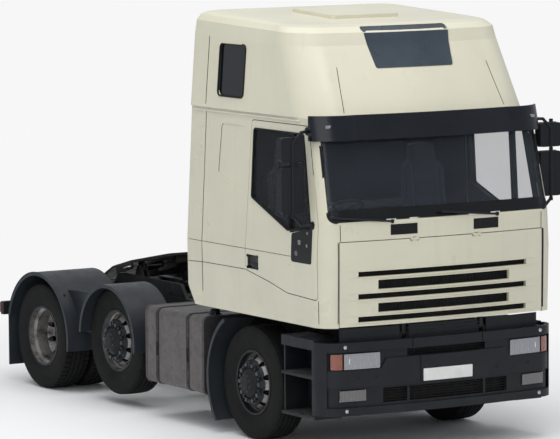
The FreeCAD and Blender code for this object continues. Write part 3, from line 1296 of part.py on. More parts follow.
def ring_wire(half, front, rear, flat, sag, back, corner_r, z_front, z_rear):
    """One station of the cab: bowed front, wide front corners, straight sides and rear."""
    slope = (z_rear - z_front) / (rear - front)

    def at(x, y):
        return V(x, y, z_front + slope * (y - front))
    shoulder = front + sag
    side_y = front + back
    knee_x = flat + (half - flat) * CORNER_SHARE
    knee_y = side_y - (side_y - shoulder) * CORNER_SHARE
    turn = corner_r * (1 - CORNER_SHARE)
    edges = [Part.Arc(at(-flat, shoulder), at(0, front), at(flat, shoulder)).toShape()]
    edges.append(Part.Arc(at(flat, shoulder), at(knee_x, knee_y), at(half, side_y)).toShape())
    edges.append(Part.LineSegment(at(half, side_y), at(half, rear - corner_r)).toShape())
    edges.append(Part.Arc(at(half, rear - corner_r), at(half - turn, rear - turn),
                          at(half - corner_r, rear)).toShape())
    edges.append(Part.LineSegment(at(half - corner_r, rear), at(corner_r - half, rear)).toShape())
    edges.append(Part.Arc(at(corner_r - half, rear), at(turn - half, rear - turn),
                          at(-half, rear - corner_r)).toShape())
    edges.append(Part.LineSegment(at(-half, rear - corner_r), at(-half, side_y)).toShape())
    edges.append(Part.Arc(at(-half, side_y), at(-knee_x, knee_y), at(-flat, shoulder)).toShape())
    return Part.Wire(edges)


def cab_station(z, half, front, back, inset):
    corner = max(REAR_CORNER_R - inset, REAR_CORNER_R / 4)
    return ring_wire(half - inset, front + inset, CAB_REAR_Y - inset,
                     FRONT_FLAT_X - inset * INSET_FLAT_SHARE, FRONT_SAG, back - inset, corner, z, z)


DRAWN = {}


def cab_solid(inset):
    """The cab's body between sill and gutter, drawn in by inset; open-ended if inset."""
    if ("cab", inset) not in DRAWN:
        DRAWN["cab", inset] = draw_cab(inset)
    return DRAWN["cab", inset].copy()


def draw_cab(inset):
    extra = OVERRUN if inset > 0 else 0
    stations = [(CAB_BOTTOM_Z, CAB_BOTTOM_HALF, CAB_BOTTOM_FRONT_Y, CORNER_BACK),
                (CREASE_Z, CREASE_HALF, CREASE_FRONT_Y, CORNER_BACK),
                (BELT_Z, BELT_HALF, BELT_FRONT_Y, CORNER_BACK),
                (GUTTER_Z, GUTTER_HALF, GUTTER_FRONT_Y, GUTTER_CORNER_BACK)]
    if extra:
        first = stations[0]
        last = stations[-1]
        stations.insert(0, (first[0] - extra,) + first[1:])
        stations.append((last[0] + extra,) + last[1:])
    wires = [cab_station(z, half, front, back, inset) for z, half, front, back in stations]
    return Part.makeLoft(wires, True, True)


def cab_shell(outer, inner):
    return cab_solid(outer).cut(cab_solid(inner))


def roof_station(share, inward, inset):
    """Station of the roof's shoulder, from the crease ring (0) to the top (1)."""
    drop = ROOF_CREASE_Z + (ROOF_TOP_FRONT_Z - ROOF_CREASE_Z) * share
    rear_crease = ROOF_CREASE_Z + ROOF_CREASE_RISE
    drop_rear = rear_crease + (ROOF_TOP_REAR_Z - rear_crease) * share
    lower = inset * share
    half = ROOF_CREASE_HALF - ROOF_SHOULDER_SIDE * inward - inset
    front = ROOF_CREASE_FRONT_Y + ROOF_SHOULDER_FRONT * inward + inset
    rear = CAB_REAR_Y - ROOF_SHOULDER_REAR * inward - inset
    flat = ROOF_FLAT_X - ROOF_SHOULDER_SIDE * inward * INSET_FLAT_SHARE - inset * INSET_FLAT_SHARE
    return ring_wire(half, front, rear, flat, ROOF_SAG, ROOF_CORNER_BACK - inset,
                     REAR_CORNER_R, drop - lower, drop_rear - lower)


def roof_solid(inset):
    """The high roof: raked band up to the crease ring, then a rounded shoulder."""
    if ("roof", inset) not in DRAWN:
        DRAWN["roof", inset] = draw_roof(inset)
    return DRAWN["roof", inset].copy()


def draw_roof(inset):
    base_z = GUTTER_Z + SEAT_GAP
    if inset > 0:
        base_z = base_z - OVERRUN
    base = ring_wire(ROOF_HALF - inset, ROOF_FRONT_Y + inset, CAB_REAR_Y - inset,
                     ROOF_FLAT_X - inset * INSET_FLAT_SHARE, ROOF_SAG, ROOF_CORNER_BACK - inset,
                     REAR_CORNER_R, base_z, base_z)
    crease = roof_station(0, 0, inset)
    band = Part.makeLoft([base, crease], True, True)
    rows = [crease]
    for share, inward in zip(ROOF_EDGE_DROP_SHARES, ROOF_EDGE_IN_SHARES):
        rows.append(roof_station(share, inward, inset))
    crown = Part.makeLoft(rows, True, True)
    return band.fuse(crown)


def door_outline():
    return [(DOOR_FRONT_Y, DOOR_BOTTOM_FRONT_Z), (DOOR_BOTTOM_MID_Y, DOOR_BOTTOM_MID_Z),
            (DOOR_BOTTOM_RISE_Y, DOOR_BOTTOM_RISE_Z), (DOOR_REAR_Y, DOOR_BOTTOM_REAR_Z),
            (DOOR_REAR_Y, CREASE_Z), (DOOR_REAR_TOP_Y, DOOR_TOP_Z), (DOOR_FRONT_TOP_Y, DOOR_TOP_Z),
            (DOOR_FRONT_Y, BELT_Z)]


def outline_solid(points, x0, x1, grow, radius=0):
    """Side-view outline grown all round by a clearance and run from x0 to x1."""
    corners = [V(x0, y, z) for y, z in points]
    face = rounded(corners, radius) if radius else polygon(corners)
    if grow:
        face = face.makeOffset2D(grow)
    return face.extrude(V(x1 - x0, 0, 0))


def window_outline():
    return [(WINDOW_FRONT_Y, WINDOW_FRONT_Z), (WINDOW_LOW_Y, WINDOW_LOW_Z),
            (WINDOW_REAR_Y, WINDOW_REAR_LOW_Z), (WINDOW_REAR_Y, WINDOW_TOP_Z),
            (WINDOW_TOP_FRONT_Y, WINDOW_TOP_Z)]


def window_cut(grow):
    """The door window's light, split by the bar of the front quarter."""
    light = outline_solid(window_outline(), SIDE_NEAR_X, SIDE_FAR_X, grow, WINDOW_R)
    half = QUARTER_BAR_W / 2 - grow
    bar = box(SIDE_NEAR_X, SIDE_FAR_X, QUARTER_BAR_Y - half, QUARTER_BAR_Y + half,
              WINDOW_LOW_Z - OVERRUN, WINDOW_TOP_Z + OVERRUN)
    return light.cut(bar)


def door(side):
    """Door as one hollowless panel with its window, quarter bar and handle recess."""
    shell = cab_shell(0, WALL)
    whole = shell.common(outline_solid(door_outline(), SIDE_NEAR_X, SIDE_FAR_X, -PANEL_GAP / 2, DOOR_R))
    handle = outline_solid([(HANDLE_Y_FRONT, HANDLE_BOTTOM_Z), (HANDLE_Y_REAR, HANDLE_BOTTOM_Z),
                            (HANDLE_Y_REAR, HANDLE_TOP_Z), (HANDLE_Y_FRONT, HANDLE_TOP_Z)],
                           SIDE_NEAR_X, SIDE_FAR_X, 0, WINDOW_R)
    dish = cab_shell(-OVERRUN, HANDLE_DEEP).common(handle)
    return on_side(whole.cut([window_cut(0), dish]), side)


def door_glass(side):
    shell = cab_shell(GLASS_DEPTH, GLASS_DEPTH + GLASS_T)
    return on_side(shell.common(window_cut(-SEAT_GAP)), side)


def door_space():
    """Room cut in the cab's side for a door, with the panel gap all round."""
    return outline_solid(door_outline(), SIDE_NEAR_X, SIDE_FAR_X, PANEL_GAP / 2, DOOR_R)


def front_region(step):
    """Side-view region ahead of the door's front line, moved by step along the cab."""
    line = DOOR_FRONT_Y + step
    top = DOOR_FRONT_TOP_Y + step
    return side_prism([(-FRONT_OVERHANG, CAB_BOTTOM_Z - OVERRUN), (line, CAB_BOTTOM_Z - OVERRUN),
                       (line, BELT_Z), (top, DOOR_TOP_Z), (top, GUTTER_Z + OVERRUN),
                       (-FRONT_OVERHANG, GUTTER_Z + OVERRUN)], -SIDE_FAR_X, SIDE_FAR_X)


def cab_side(side):
    """Sill, rear quarter and door header of one side, with its pressed panel."""
    shell = cab_shell(0, WALL).common(box(0, SIDE_FAR_X, -FRONT_OVERHANG, REAR_SEAM_Y - SEAT_GAP,
                                          CAB_BOTTOM_Z - OVERRUN, GUTTER_Z + OVERRUN))
    emboss = outline_solid([(EMBOSS_FRONT_Y, EMBOSS_FRONT_LOW_Z), (EMBOSS_REAR_LOW_Y, EMBOSS_REAR_LOW_Z),
                            (EMBOSS_REAR_TOP_Y, EMBOSS_TOP_Z), (EMBOSS_FRONT_Y, EMBOSS_TOP_Z)],
                           SIDE_NEAR_X, SIDE_FAR_X, 0, EMBOSS_R)
    dish = cab_shell(-OVERRUN, EMBOSS_DEEP).common(emboss)
    return on_side(shell.cut([front_region(SEAT_GAP), door_space(), dish]), side)


def cab_rear():
    """Rear wall with its wrap-round corners and the chamfer over the frame."""
    shell = cab_shell(0, WALL).common(box(-SIDE_FAR_X, SIDE_FAR_X, REAR_SEAM_Y, CAB_REAR_Y + OVERRUN,
                                          CAB_BOTTOM_Z - OVERRUN, GUTTER_Z + OVERRUN))
    chamfer = side_prism([(REAR_CHAMFER_BOTTOM_Y, CAB_BOTTOM_Z - OVERRUN),
                          (CAB_REAR_Y + OVERRUN, REAR_CHAMFER_TOP_Z + OVERRUN),
                          (CAB_REAR_Y + OVERRUN, CAB_BOTTOM_Z - OVERRUN)], -SIDE_FAR_X, SIDE_FAR_X)
    return shell.cut(chamfer)


def screen_cut(grow):
    low = SCREEN_BOTTOM_Z - grow
    high = SCREEN_TOP_Z + grow
    wide = SCREEN_BOTTOM_HALF + grow
    narrow = SCREEN_TOP_HALF + grow
    corners = [(-wide, low), (wide, low), (narrow, high), (-narrow, high)]
    return front_prism(corners, -FRONT_OVERHANG, SCREEN_REACH - FRONT_OVERHANG, SCREEN_CORNER_R)


def grille_zone(grow, deep):
    """Room for the grille hatch, from outside the cab's face to a depth behind it."""
    block = box(-GRILLE_HALF - grow, GRILLE_HALF + grow, -FRONT_OVERHANG - OVERRUN, 0,
                GRILLE_BOTTOM_Z - grow - OVERRUN, GRILLE_TOP_Z + grow)
    return block.cut(cab_solid(deep))


def firewall(grow):
    """Wall behind the hatch's bay, thicker by grow towards the cabin."""
    zone = box(-FIREWALL_HALF - grow, FIREWALL_HALF + grow, -FRONT_OVERHANG, DOOR_FRONT_Y + grow,
               FLOOR_Z - FLOOR_T - grow, GRILLE_TOP_Z + FIREWALL_T)
    return cab_shell(WALL / 2, GRILLE_T + FIREWALL_BACK + FIREWALL_T + grow).common(zone)


def cab_front():
    """Front structure: pillars, header, cowl, corner panels, firewall and tilt lugs."""
    region = front_region(0)
    shell = cab_shell(0, WALL).common(region)
    deep = GRILLE_T + FIREWALL_BACK
    whole = fused([shell, firewall(0)])
    vents = []
    for side in SIDES:
        zone = box(VENT_IN_X * side, VENT_OUT_X * side, -FRONT_OVERHANG, DOOR_FRONT_Y,
                   VENT_BOTTOM_Z, VENT_TOP_Z)
        vents.append(cab_shell(-OVERRUN, VENT_DEEP).common(zone))
    lugs = []
    for x in (GRILLE_HINGE_X, -GRILLE_HINGE_X):
        reach = GRILLE_KNUCKLE_L / 2
        free = reach + BRACKET_GAP
        vents.append(hinge_rod(GRILLE_KNUCKLE_R + PANEL_GAP, x - free, x + free))
        lugs.append(hinge_rod(GRILLE_PIN_R, x - reach * 2, x + reach * 2))
        for near in (x - free, x + free):
            far = near + math.copysign(reach - BRACKET_GAP, near - x)
            lugs.append(hinge_rod(GRILLE_KNUCKLE_R, near, far))
            lugs.append(box(near, far, GRILLE_HINGE_Y, GRILLE_HINGE_Y + GRILLE_KNUCKLE_R,
                            GRILLE_HINGE_Z, GRILLE_TOP_Z + GRILLE_KNUCKLE_R * 2))
    doors = [door_space(), mirrored(door_space())]
    whole = whole.cut([screen_cut(0), grille_zone(PANEL_GAP, deep)] + vents + doors)
    for side in SIDES:
        x0 = (TILT_X - TILT_LUG_T / 2) * side
        x1 = (TILT_X + TILT_LUG_T / 2) * side
        lug = side_prism([(TILT_Y - TILT_LUG_R, TILT_Z), (TILT_Y + TILT_LUG_R, TILT_Z),
                          (LUG_REAR_Y, FLOOR_Z - FLOOR_T), (LUG_REAR_Y, FLOOR_Z + FLOOR_T),
                          (TILT_Y, FLOOR_Z + FLOOR_T), (TILT_Y - TILT_LUG_R, FLOOR_Z - FLOOR_T)], x0, x1)
        lugs.append(lug)
        lugs.append(rod(TILT_LUG_R, V(x0, TILT_Y, TILT_Z), V(x1, TILT_Y, TILT_Z)))
    whole = fused([whole] + lugs)
    reach = TILT_X + TILT_LUG_T
    bore = rod(TILT_PIN_R + TILT_PIN_CLEAR, V(-reach, TILT_Y, TILT_Z), V(reach, TILT_Y, TILT_Z))
    return whole.cut(bore)


def cab_glass():
    """Windscreen and the two roof-side windows."""
    screen = cab_shell(SCREEN_DEPTH, SCREEN_DEPTH + SCREEN_T).common(screen_cut(-SEAT_GAP))
    pane = roof_solid(GLASS_DEPTH).cut(roof_solid(GLASS_DEPTH + GLASS_T)).common(roof_window(-SEAT_GAP))
    return [screen, pane, mirrored(pane)]


def roof_window(grow):
    points = [(ROOF_WINDOW_FRONT_Y, ROOF_WINDOW_BOTTOM_Z), (ROOF_WINDOW_REAR_Y, ROOF_WINDOW_BOTTOM_Z),
              (ROOF_WINDOW_REAR_Y, ROOF_WINDOW_TOP_Z), (ROOF_WINDOW_FRONT_Y, ROOF_WINDOW_TOP_Z)]
    return outline_solid(points, SIDE_NEAR_X, SIDE_FAR_X, grow, ROOF_WINDOW_R)


def hatch_block(grow, z0, z1):
    return box(-HATCH_HALF_X - grow, HATCH_HALF_X + grow, HATCH_FRONT_Y - grow, HATCH_REAR_Y + grow, z0, z1)


def cab_roof():
    """High roof moulding with its side windows, front panel recess and hatch opening."""
    shell = roof_solid(0).cut(roof_solid(ROOF_WALL))
    low_half = ROOF_PANEL_BOTTOM_HALF
    top_half = ROOF_PANEL_TOP_HALF
    panel = front_prism([(-low_half, ROOF_PANEL_BOTTOM_Z), (low_half, ROOF_PANEL_BOTTOM_Z),
                         (top_half, ROOF_PANEL_TOP_Z), (-top_half, ROOF_PANEL_TOP_Z)],
                        -FRONT_OVERHANG, 0, WINDOW_R)
    skin = roof_solid(0).cut(roof_solid(ROOF_PANEL_T)).common(panel)
    light = roof_window(0)
    opening = hatch_block(-HATCH_LIP, GUTTER_Z, ROOF_TOP_REAR_Z + OVERRUN)
    return shell.cut([skin, light, mirrored(light), opening])


def roof_top(y):
    """Height of the roof's flat top, which rises towards the rear."""
    front = ROOF_CREASE_FRONT_Y + ROOF_SHOULDER_FRONT * ROOF_EDGE_IN_SHARES[-1]
    rear = CAB_REAR_Y - ROOF_SHOULDER_REAR * ROOF_EDGE_IN_SHARES[-1]
    slope = (ROOF_TOP_REAR_Z - ROOF_TOP_FRONT_Z) / (rear - front)
    return ROOF_TOP_FRONT_Z + slope * (y - front)


def roof_hatch():
    """Lid over the roof opening, lying on the roof and hinged along its front edge."""
    z0 = roof_top(HATCH_FRONT_Y) + SEAT_GAP
    lid = plan_prism([(-HATCH_HALF_X, HATCH_FRONT_Y), (HATCH_HALF_X, HATCH_FRONT_Y),
                      (HATCH_HALF_X, HATCH_REAR_Y), (-HATCH_HALF_X, HATCH_REAR_Y)],
                     z0, z0 + HATCH_T, HATCH_LIP)
    rise = roof_top(HATCH_REAR_Y) - roof_top(HATCH_FRONT_Y)
    slope = math.degrees(math.atan2(rise, HATCH_REAR_Y - HATCH_FRONT_Y))
    return turned(lid, V(0, HATCH_FRONT_Y, z0), X_AXIS, slope)


def hinge_rod(radius, x0, x1):
    """A round along the hatch's hinge line between two distances off the centre."""
    return rod(radius, V(x0, GRILLE_HINGE_Y, GRILLE_HINGE_Z), V(x1, GRILLE_HINGE_Y, GRILLE_HINGE_Z))


def grille_hatch():
    """Hinged front panel with its five air slots and two hinge knuckles."""
    zone = box(-GRILLE_HALF, GRILLE_HALF, -FRONT_OVERHANG - OVERRUN, DOOR_FRONT_Y,
               GRILLE_BOTTOM_Z, GRILLE_TOP_Z)
    panel = cab_shell(0, GRILLE_T).common(zone)
    slots = []
    for i, (top, height) in enumerate(zip(SLOT_TOPS, SLOT_HEIGHTS)):
        half = SLOT_SHORT_HALF if i % 2 else SLOT_LONG_HALF
        slots.append(box(-half, half, -FRONT_OVERHANG - OVERRUN, DOOR_FRONT_Y, top - height, top))
    knuckles = []
    pins = []
    for x in (GRILLE_HINGE_X, -GRILLE_HINGE_X):
        reach = GRILLE_KNUCKLE_L / 2
        room = reach * 2 + RUN_GAP
        slots.append(hinge_rod(GRILLE_KNUCKLE_R + PANEL_GAP, x - room, x + room))
        knuckles.append(hinge_rod(GRILLE_KNUCKLE_R, x - reach, x + reach))
        knuckles.append(box(x - reach, x + reach, GRILLE_HINGE_Y, GRILLE_HINGE_Y + GRILLE_KNUCKLE_R,
                            GRILLE_HINGE_Z - GRILLE_KNUCKLE_R * 3, GRILLE_HINGE_Z))
        pins.append(hinge_rod(GRILLE_PIN_R + GRILLE_PIN_CLEAR, x - room, x + room))
    return fused([panel.cut(slots)] + knuckles).cut(pins)


def visor_wire(inset, front, z):
    return ring_wire(VISOR_HALF - inset, front + inset, 0, ROOF_FLAT_X, ROOF_SAG, VISOR_BACK,
                     REAR_CORNER_R, z, z)


def visor_solid(inset, extra):
    low = visor_wire(inset, VISOR_BOTTOM_Y, VISOR_BOTTOM_Z - extra)
    high = visor_wire(inset, VISOR_TOP_Y, VISOR_TOP_Z + extra)
    return Part.makeLoft([low, high], True, True)


def sun_visor():
    """Dark blade across the cab's brow on four brackets."""
    blade = visor_solid(0, 0).cut(visor_solid(VISOR_T, OVERRUN))
    ahead = box(-SIDE_FAR_X, SIDE_FAR_X, -FRONT_OVERHANG - OVERRUN, VISOR_END_Y,
                VISOR_BOTTOM_Z - OVERRUN, VISOR_TOP_Z + OVERRUN)
    blade = blade.common(ahead)
    brackets = []
    for share in VISOR_BRACKET_SHARES:
        x = VISOR_HALF * share
        z = GUTTER_Z - VISOR_BRACKET_H * 2
        brackets.append(box(x - VISOR_T, x + VISOR_T, -FRONT_OVERHANG, DOOR_FRONT_TOP_Y,
                            z, z + VISOR_BRACKET_H))
    web = fused(brackets).common(visor_solid(VISOR_T / 2, 0)).cut(cab_solid(-SEAT_GAP))
    return fused([blade, web])


def wipers():
    """Two wiper arms and blades resting along the foot of the windscreen."""
    shapes = []
    for side_x, tip_x in ((WIPER_X, WIPER_X - WIPER_L), (-WIPER_X, -WIPER_X - WIPER_L)):
        y = BELT_FRONT_Y - WIPER_R - SEAT_GAP
        foot = V(side_x, y + front_bow(side_x) - SEAT_GAP, WIPER_Z)
        tip = V(tip_x, y + front_bow(tip_x) - WIPER_R, WIPER_Z + WIPER_RISE)
        arm = rod(WIPER_R, foot, tip)
        pivot = rod(WIPER_R * 2, foot, foot + V(0, WIPER_R * 3, 0)).cut(cab_solid(-SEAT_GAP))
        shapes.append(fused([arm, pivot]))
    return shapes


def front_bow(x):
    """How far the cab's front lies behind its middle at a distance x off the centre."""
    return FRONT_SAG * (x / FRONT_FLAT_X) ** 2


def mirror(side):
    """Tubular arm on the door with a small wide-angle head over the main one."""
    top_x = surface_x(MIRROR_ARM_TOP_Z)
    low_x = surface_x(MIRROR_ARM_LOW_Z)
    path = [V(top_x + SEAT_GAP, MIRROR_TOP_FOOT_Y, MIRROR_ARM_TOP_Z),
            V(MIRROR_X - MIRROR_ARM_BEND, MIRROR_ARM_Y, MIRROR_ARM_TOP_Z),
            V(MIRROR_X, MIRROR_ARM_Y, MIRROR_ARM_TOP_Z - MIRROR_ARM_BEND),
            V(MIRROR_X, MIRROR_ARM_Y, MIRROR_ARM_LOW_Z + MIRROR_ARM_BEND),
            V(MIRROR_X - MIRROR_ARM_BEND, MIRROR_ARM_Y, MIRROR_ARM_LOW_Z),
            V(low_x + SEAT_GAP, MIRROR_LOW_FOOT_Y, MIRROR_ARM_LOW_Z)]
    pieces = []
    for start, end in zip(path, path[1:]):
        pieces.append(rod(MIRROR_ARM_R, start, end))
    for joint in path[1:-1]:
        pieces.append(Part.makeSphere(MIRROR_ARM_R, joint))
    half = MIRROR_W / 2
    for low, high in ((MIRROR_UPPER_BOTTOM_Z, MIRROR_UPPER_TOP_Z),
                      (MIRROR_LOWER_BOTTOM_Z, MIRROR_LOWER_TOP_Z)):
        pieces.append(front_prism([(MIRROR_X - half, low), (MIRROR_X + half, low), (MIRROR_X + half, high),
                                   (MIRROR_X - half, high)], MIRROR_ARM_Y, MIRROR_ARM_Y + MIRROR_DEPTH,
                                  MIRROR_EDGE_R))
    whole = fused(pieces).cut(cab_solid(-SEAT_GAP))
    return on_side(whole, side)


def surface_x(z):
    """Half-width of the cab's side at a height above the belt."""
    share = (z - BELT_Z) / (GUTTER_Z - BELT_Z)
    return BELT_HALF + (GUTTER_HALF - BELT_HALF) * share


def cab_floor():
    """Floor with the engine tunnel, the two seat boxes and the locker under the bunk."""
    inside = cab_solid(WALL + SEAT_GAP)
    plate = box(-SIDE_FAR_X, SIDE_FAR_X, FLOOR_FRONT_Y, CAB_REAR_Y, FLOOR_Z - FLOOR_T, FLOOR_Z)
    tunnel = box(-TUNNEL_HALF, TUNNEL_HALF, FLOOR_FRONT_Y, TUNNEL_REAR_Y, FLOOR_Z - FLOOR_T, TUNNEL_TOP_Z)
    under = box(-TUNNEL_HALF + FLOOR_T, TUNNEL_HALF - FLOOR_T, FLOOR_FRONT_Y - OVERRUN,
                TUNNEL_REAR_Y - FLOOR_T, FLOOR_Z - FLOOR_T - OVERRUN, TUNNEL_TOP_Z - FLOOR_T)
    pieces = [plate, tunnel]
    cushion_low = SEAT_TOP_Z - SEAT_CUSHION_T - SEAT_GAP
    for side in SIDES:
        x = SEAT_X * side
        pieces.append(box(x - SEAT_PLINTH_HALF, x + SEAT_PLINTH_HALF, SEAT_FRONT_Y + SEAT_PLINTH_IN,
                          SEAT_FRONT_Y + SEAT_DEPTH, FLOOR_Z, cushion_low))
    locker_top = BUNK_TOP_Z - BUNK_CUSHION_T - SEAT_GAP
    pieces.append(box(-SIDE_FAR_X, SIDE_FAR_X, BUNK_FRONT_Y, CAB_REAR_Y, FLOOR_Z, locker_top))
    threshold = cab_shell(0, WALL + DOOR_SWEEP_GAP).common(door_space())
    cuts = [under, firewall(SEAT_GAP), threshold, mirrored(threshold)]
    return fused(pieces).cut(cuts).common(inside)


def dashboard():
    """Moulded fascia across the cab with the steering column at the driver's side."""
    inside = cab_solid(GRILLE_T + FIREWALL_BACK + FIREWALL_T + SEAT_GAP)
    rear_y = BELT_FRONT_Y + DASH_FRONT_IN + DASH_DEPTH
    block = side_prism([(-FRONT_OVERHANG, DASH_BOTTOM_Z), (rear_y - DASH_KNEE, DASH_BOTTOM_Z),
                        (rear_y, DASH_TOP_Z - DASH_KNEE), (rear_y - DASH_KNEE / 2, DASH_TOP_Z),
                        (-FRONT_OVERHANG, DASH_TOP_Z)], -DASH_HALF, DASH_HALF)
    axis = column_axis()
    centre = V(SEAT_X * WHEEL_SIDE, STEERING_Y, STEERING_Z)
    top = centre - axis * (STEERING_HUB_T / 2 + RUN_GAP)
    column = rod(COLUMN_R, top - axis * COLUMN_L, top)
    shaft = rod(COLUMN_SHAFT_R, top, centre + axis * (STEERING_HUB_T / 4))
    return fused([block.common(inside), column, shaft])


def column_axis():
    a = math.radians(STEERING_TILT_DEG)
    return V(0, math.sin(a), math.cos(a))


def steering_wheel():
    axis = column_axis()
    centre = V(SEAT_X * WHEEL_SIDE, STEERING_Y, STEERING_Z)
    pieces = [Part.makeTorus(STEERING_R, STEERING_RIM_R, centre, axis)]
    foot = centre - axis * (STEERING_HUB_T / 2)
    pieces.append(Part.makeCylinder(STEERING_HUB_R, STEERING_HUB_T, foot, axis))
    for i in range(SPOKES):
        turn = FreeCAD.Rotation(axis, 360 / SPOKES * (i + 0.5))
        pieces.append(rod(SPOKE_R, centre, centre + turn.multVec(X_AXIS) * STEERING_R))
    bore_end = centre + axis * (STEERING_HUB_T / 4 + COLUMN_GAP)
    bore = rod(COLUMN_SHAFT_R + COLUMN_GAP, foot - axis * OVERRUN, bore_end)
    return fused(pieces).cut(bore)


def seats():
    """Cushion and backrest of both seats."""
    shapes = []
    for side in SIDES:
        x0 = SEAT_X * side - SEAT_W / 2
        x1 = x0 + SEAT_W
        rear = SEAT_FRONT_Y + SEAT_DEPTH
        low = SEAT_TOP_Z - SEAT_CUSHION_T
        head_y = rear + SEAT_BACK_LEAN
        outline = [(SEAT_FRONT_Y, low), (rear, low), (rear + SEAT_BACK_T, SEAT_TOP_Z),
                   (head_y + SEAT_BACK_T, SEAT_BACK_TOP_Z), (head_y, SEAT_BACK_TOP_Z),
                   (rear, SEAT_TOP_Z), (SEAT_FRONT_Y, SEAT_TOP_Z)]
        shapes.append(side_prism(outline, x0, x1))
    return shapes


def bunk():
    low = BUNK_TOP_Z - BUNK_CUSHION_T
    block = box(-BUNK_HALF, BUNK_HALF, BUNK_FRONT_Y, CAB_REAR_Y, low, BUNK_TOP_Z)
    return block.common(cab_solid(WALL + BUNK_REAR_GAP))


def cab_mounts():
    """Front hinge towers on the rails with their pins, and the rear spring posts."""
    shapes = []
    for side in SIDES:
        pieces = []
        half = TILT_LUG_T / 2 + CHEEK_GAP
        for near, far in ((TILT_X - half, TILT_X - half - CHEEK_T),
                          (TILT_X + half, TILT_X + half + CHEEK_T)):
            cheek = side_prism([(TILT_Y - TILT_LUG_R, CHEEK_LOW_Z), (CHEEK_REAR_Y, CHEEK_LOW_Z),
                                (CHEEK_REAR_Y, RAIL_TOP_Z - OVERRUN), (TILT_Y + TILT_LUG_R, TILT_Z),
                                (TILT_Y, TILT_Z + TILT_LUG_R), (TILT_Y - TILT_LUG_R, TILT_Z)],
                               near * side, far * side)
            pieces.append(cheek)
        start = V((TILT_X - half - CHEEK_T) * side, TILT_Y, TILT_Z)
        end = V((TILT_X + half + CHEEK_T) * side, TILT_Y, TILT_Z)
        pieces.append(rod(TILT_PIN_R, start, end))
        x0 = (TILT_X - half - CHEEK_T) * side
        x1 = (TILT_X + half + CHEEK_T) * side
        pieces.append(box(x0, x1, -FRONT_OVERHANG + BUMPER_T + tower_bow(), RAIL_FRONT_Y - SEAT_GAP,
                          CHEEK_LOW_Z, CHEEK_LOW_Z + CROSS_W))
        shapes.append(fused(pieces))
        base = V(SPRING_X * side, REAR_MOUNT_Y, RAIL_TOP_Z + SEAT_GAP)
        top = V(SPRING_X * side, REAR_MOUNT_Y, FLOOR_Z - FLOOR_T - SEAT_GAP)
        shapes.append(rod(REAR_MOUNT_R, base, top))
    return shapes


def tower_bow():
    """Set-back of the bumper's inner face where the hinge towers meet it."""
    outer_x = TILT_X + TILT_LUG_T / 2 + CHEEK_GAP + CHEEK_T
    flat = BUMPER_FLAT_X - BUMPER_T * INSET_FLAT_SHARE
    return BUMPER_SAG * (outer_x / flat) ** 2 + SEAT_GAP * 2


def build():
    os.makedirs("parts", exist_ok=True)
    wheels()
    save("knuckle_left", [knuckle(1)])
    save("knuckle_right", [knuckle(-1)])
    save("tie_rod", [tie_rod()])
    save("axle_beams", [front_beam(), mid_beam(), drive_beam()])
    save("front_springs", front_springs())
    save("rear_suspension", rear_suspension())
    save("rail_left", [rail(1)])
    save("rail_right", [rail(-1)])
    save("crossmembers", crossmembers())
    save("rear_bar", rear_bar())
    save("rear_lamps", rear_lamps())
    save("engine", engine())
    save("radiator", radiator())
    save("prop_shaft", prop_shaft())
    save("fifth_wheel", [fifth_wheel()])
    save("fifth_wheel_mount", [fifth_mount()])
    save("fuel_tank", fuel_tank())
    save("tank_brackets", tank_brackets())
    save("side_boxes", side_boxes())
    save("rear_guards", rear_guards())
    save("front_guards", front_guards())
    save("deck", deck())
    save("bumper", bumper())
    save("front_lamps", front_lamps())
    save("steps", steps())
    save("cab_mounts", cab_mounts())
    save("cab_front", [cab_front()])
    save("cab_side_left", [cab_side(1)])
    save("cab_side_right", [cab_side(-1)])
    save("cab_rear", [cab_rear()])
    save("cab_roof", [cab_roof()])
    save("cab_floor", [cab_floor()])
    save("cab_glass", cab_glass())
    save("door_left", [door(1)])
    save("door_right", [door(-1)])
    save("door_glass_left", [door_glass(1)])
    save("door_glass_right", [door_glass(-1)])
    save("grille_hatch", [grille_hatch()])
    save("roof_hatch", [roof_hatch()])
    save("sun_visor", [sun_visor()])
    save("wipers", wipers())
    save("mirror_left", [mirror(1)])
    save("mirror_right", [mirror(-1)])
    save("dashboard", [dashboard()])
    save("steering_wheel", [steering_wheel()])
    save("seats", seats())
    save("bunk", [bunk()])


build()
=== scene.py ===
import bmesh
import bpy
import math
from mathutils import Matrix, Vector
from mathutils.bvhtree import BVHTree


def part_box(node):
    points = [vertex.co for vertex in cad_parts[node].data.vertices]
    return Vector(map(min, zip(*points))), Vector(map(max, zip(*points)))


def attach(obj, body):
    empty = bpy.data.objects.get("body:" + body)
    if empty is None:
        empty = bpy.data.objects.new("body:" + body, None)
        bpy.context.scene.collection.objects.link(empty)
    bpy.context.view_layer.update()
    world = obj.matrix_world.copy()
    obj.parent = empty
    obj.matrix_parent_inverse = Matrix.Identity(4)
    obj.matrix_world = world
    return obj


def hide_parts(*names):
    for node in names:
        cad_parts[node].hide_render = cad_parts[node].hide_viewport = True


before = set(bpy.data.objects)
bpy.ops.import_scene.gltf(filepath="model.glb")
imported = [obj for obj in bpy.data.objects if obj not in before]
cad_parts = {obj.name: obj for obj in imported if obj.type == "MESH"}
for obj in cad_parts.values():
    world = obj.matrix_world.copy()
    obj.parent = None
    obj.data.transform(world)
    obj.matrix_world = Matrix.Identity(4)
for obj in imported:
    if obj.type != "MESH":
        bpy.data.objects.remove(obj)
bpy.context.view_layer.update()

# The view of the finished truck: a long lens far ahead of its right front corner, above the roof's height.
# Its place and direction were fitted to the photograph, which is 560 by 439 pixels.
PHOTO_W, PHOTO_H = 560, 439
FOCAL_PX = 4000.0
CENTRE_PX = (276.484, 222.396)
SENSOR_MM = 36.0
CAMERA_AT = Vector((-19.7085, -32.5047, 5.7288))
CAMERA_RIGHT = (0.852952, -0.521935, -0.007542)
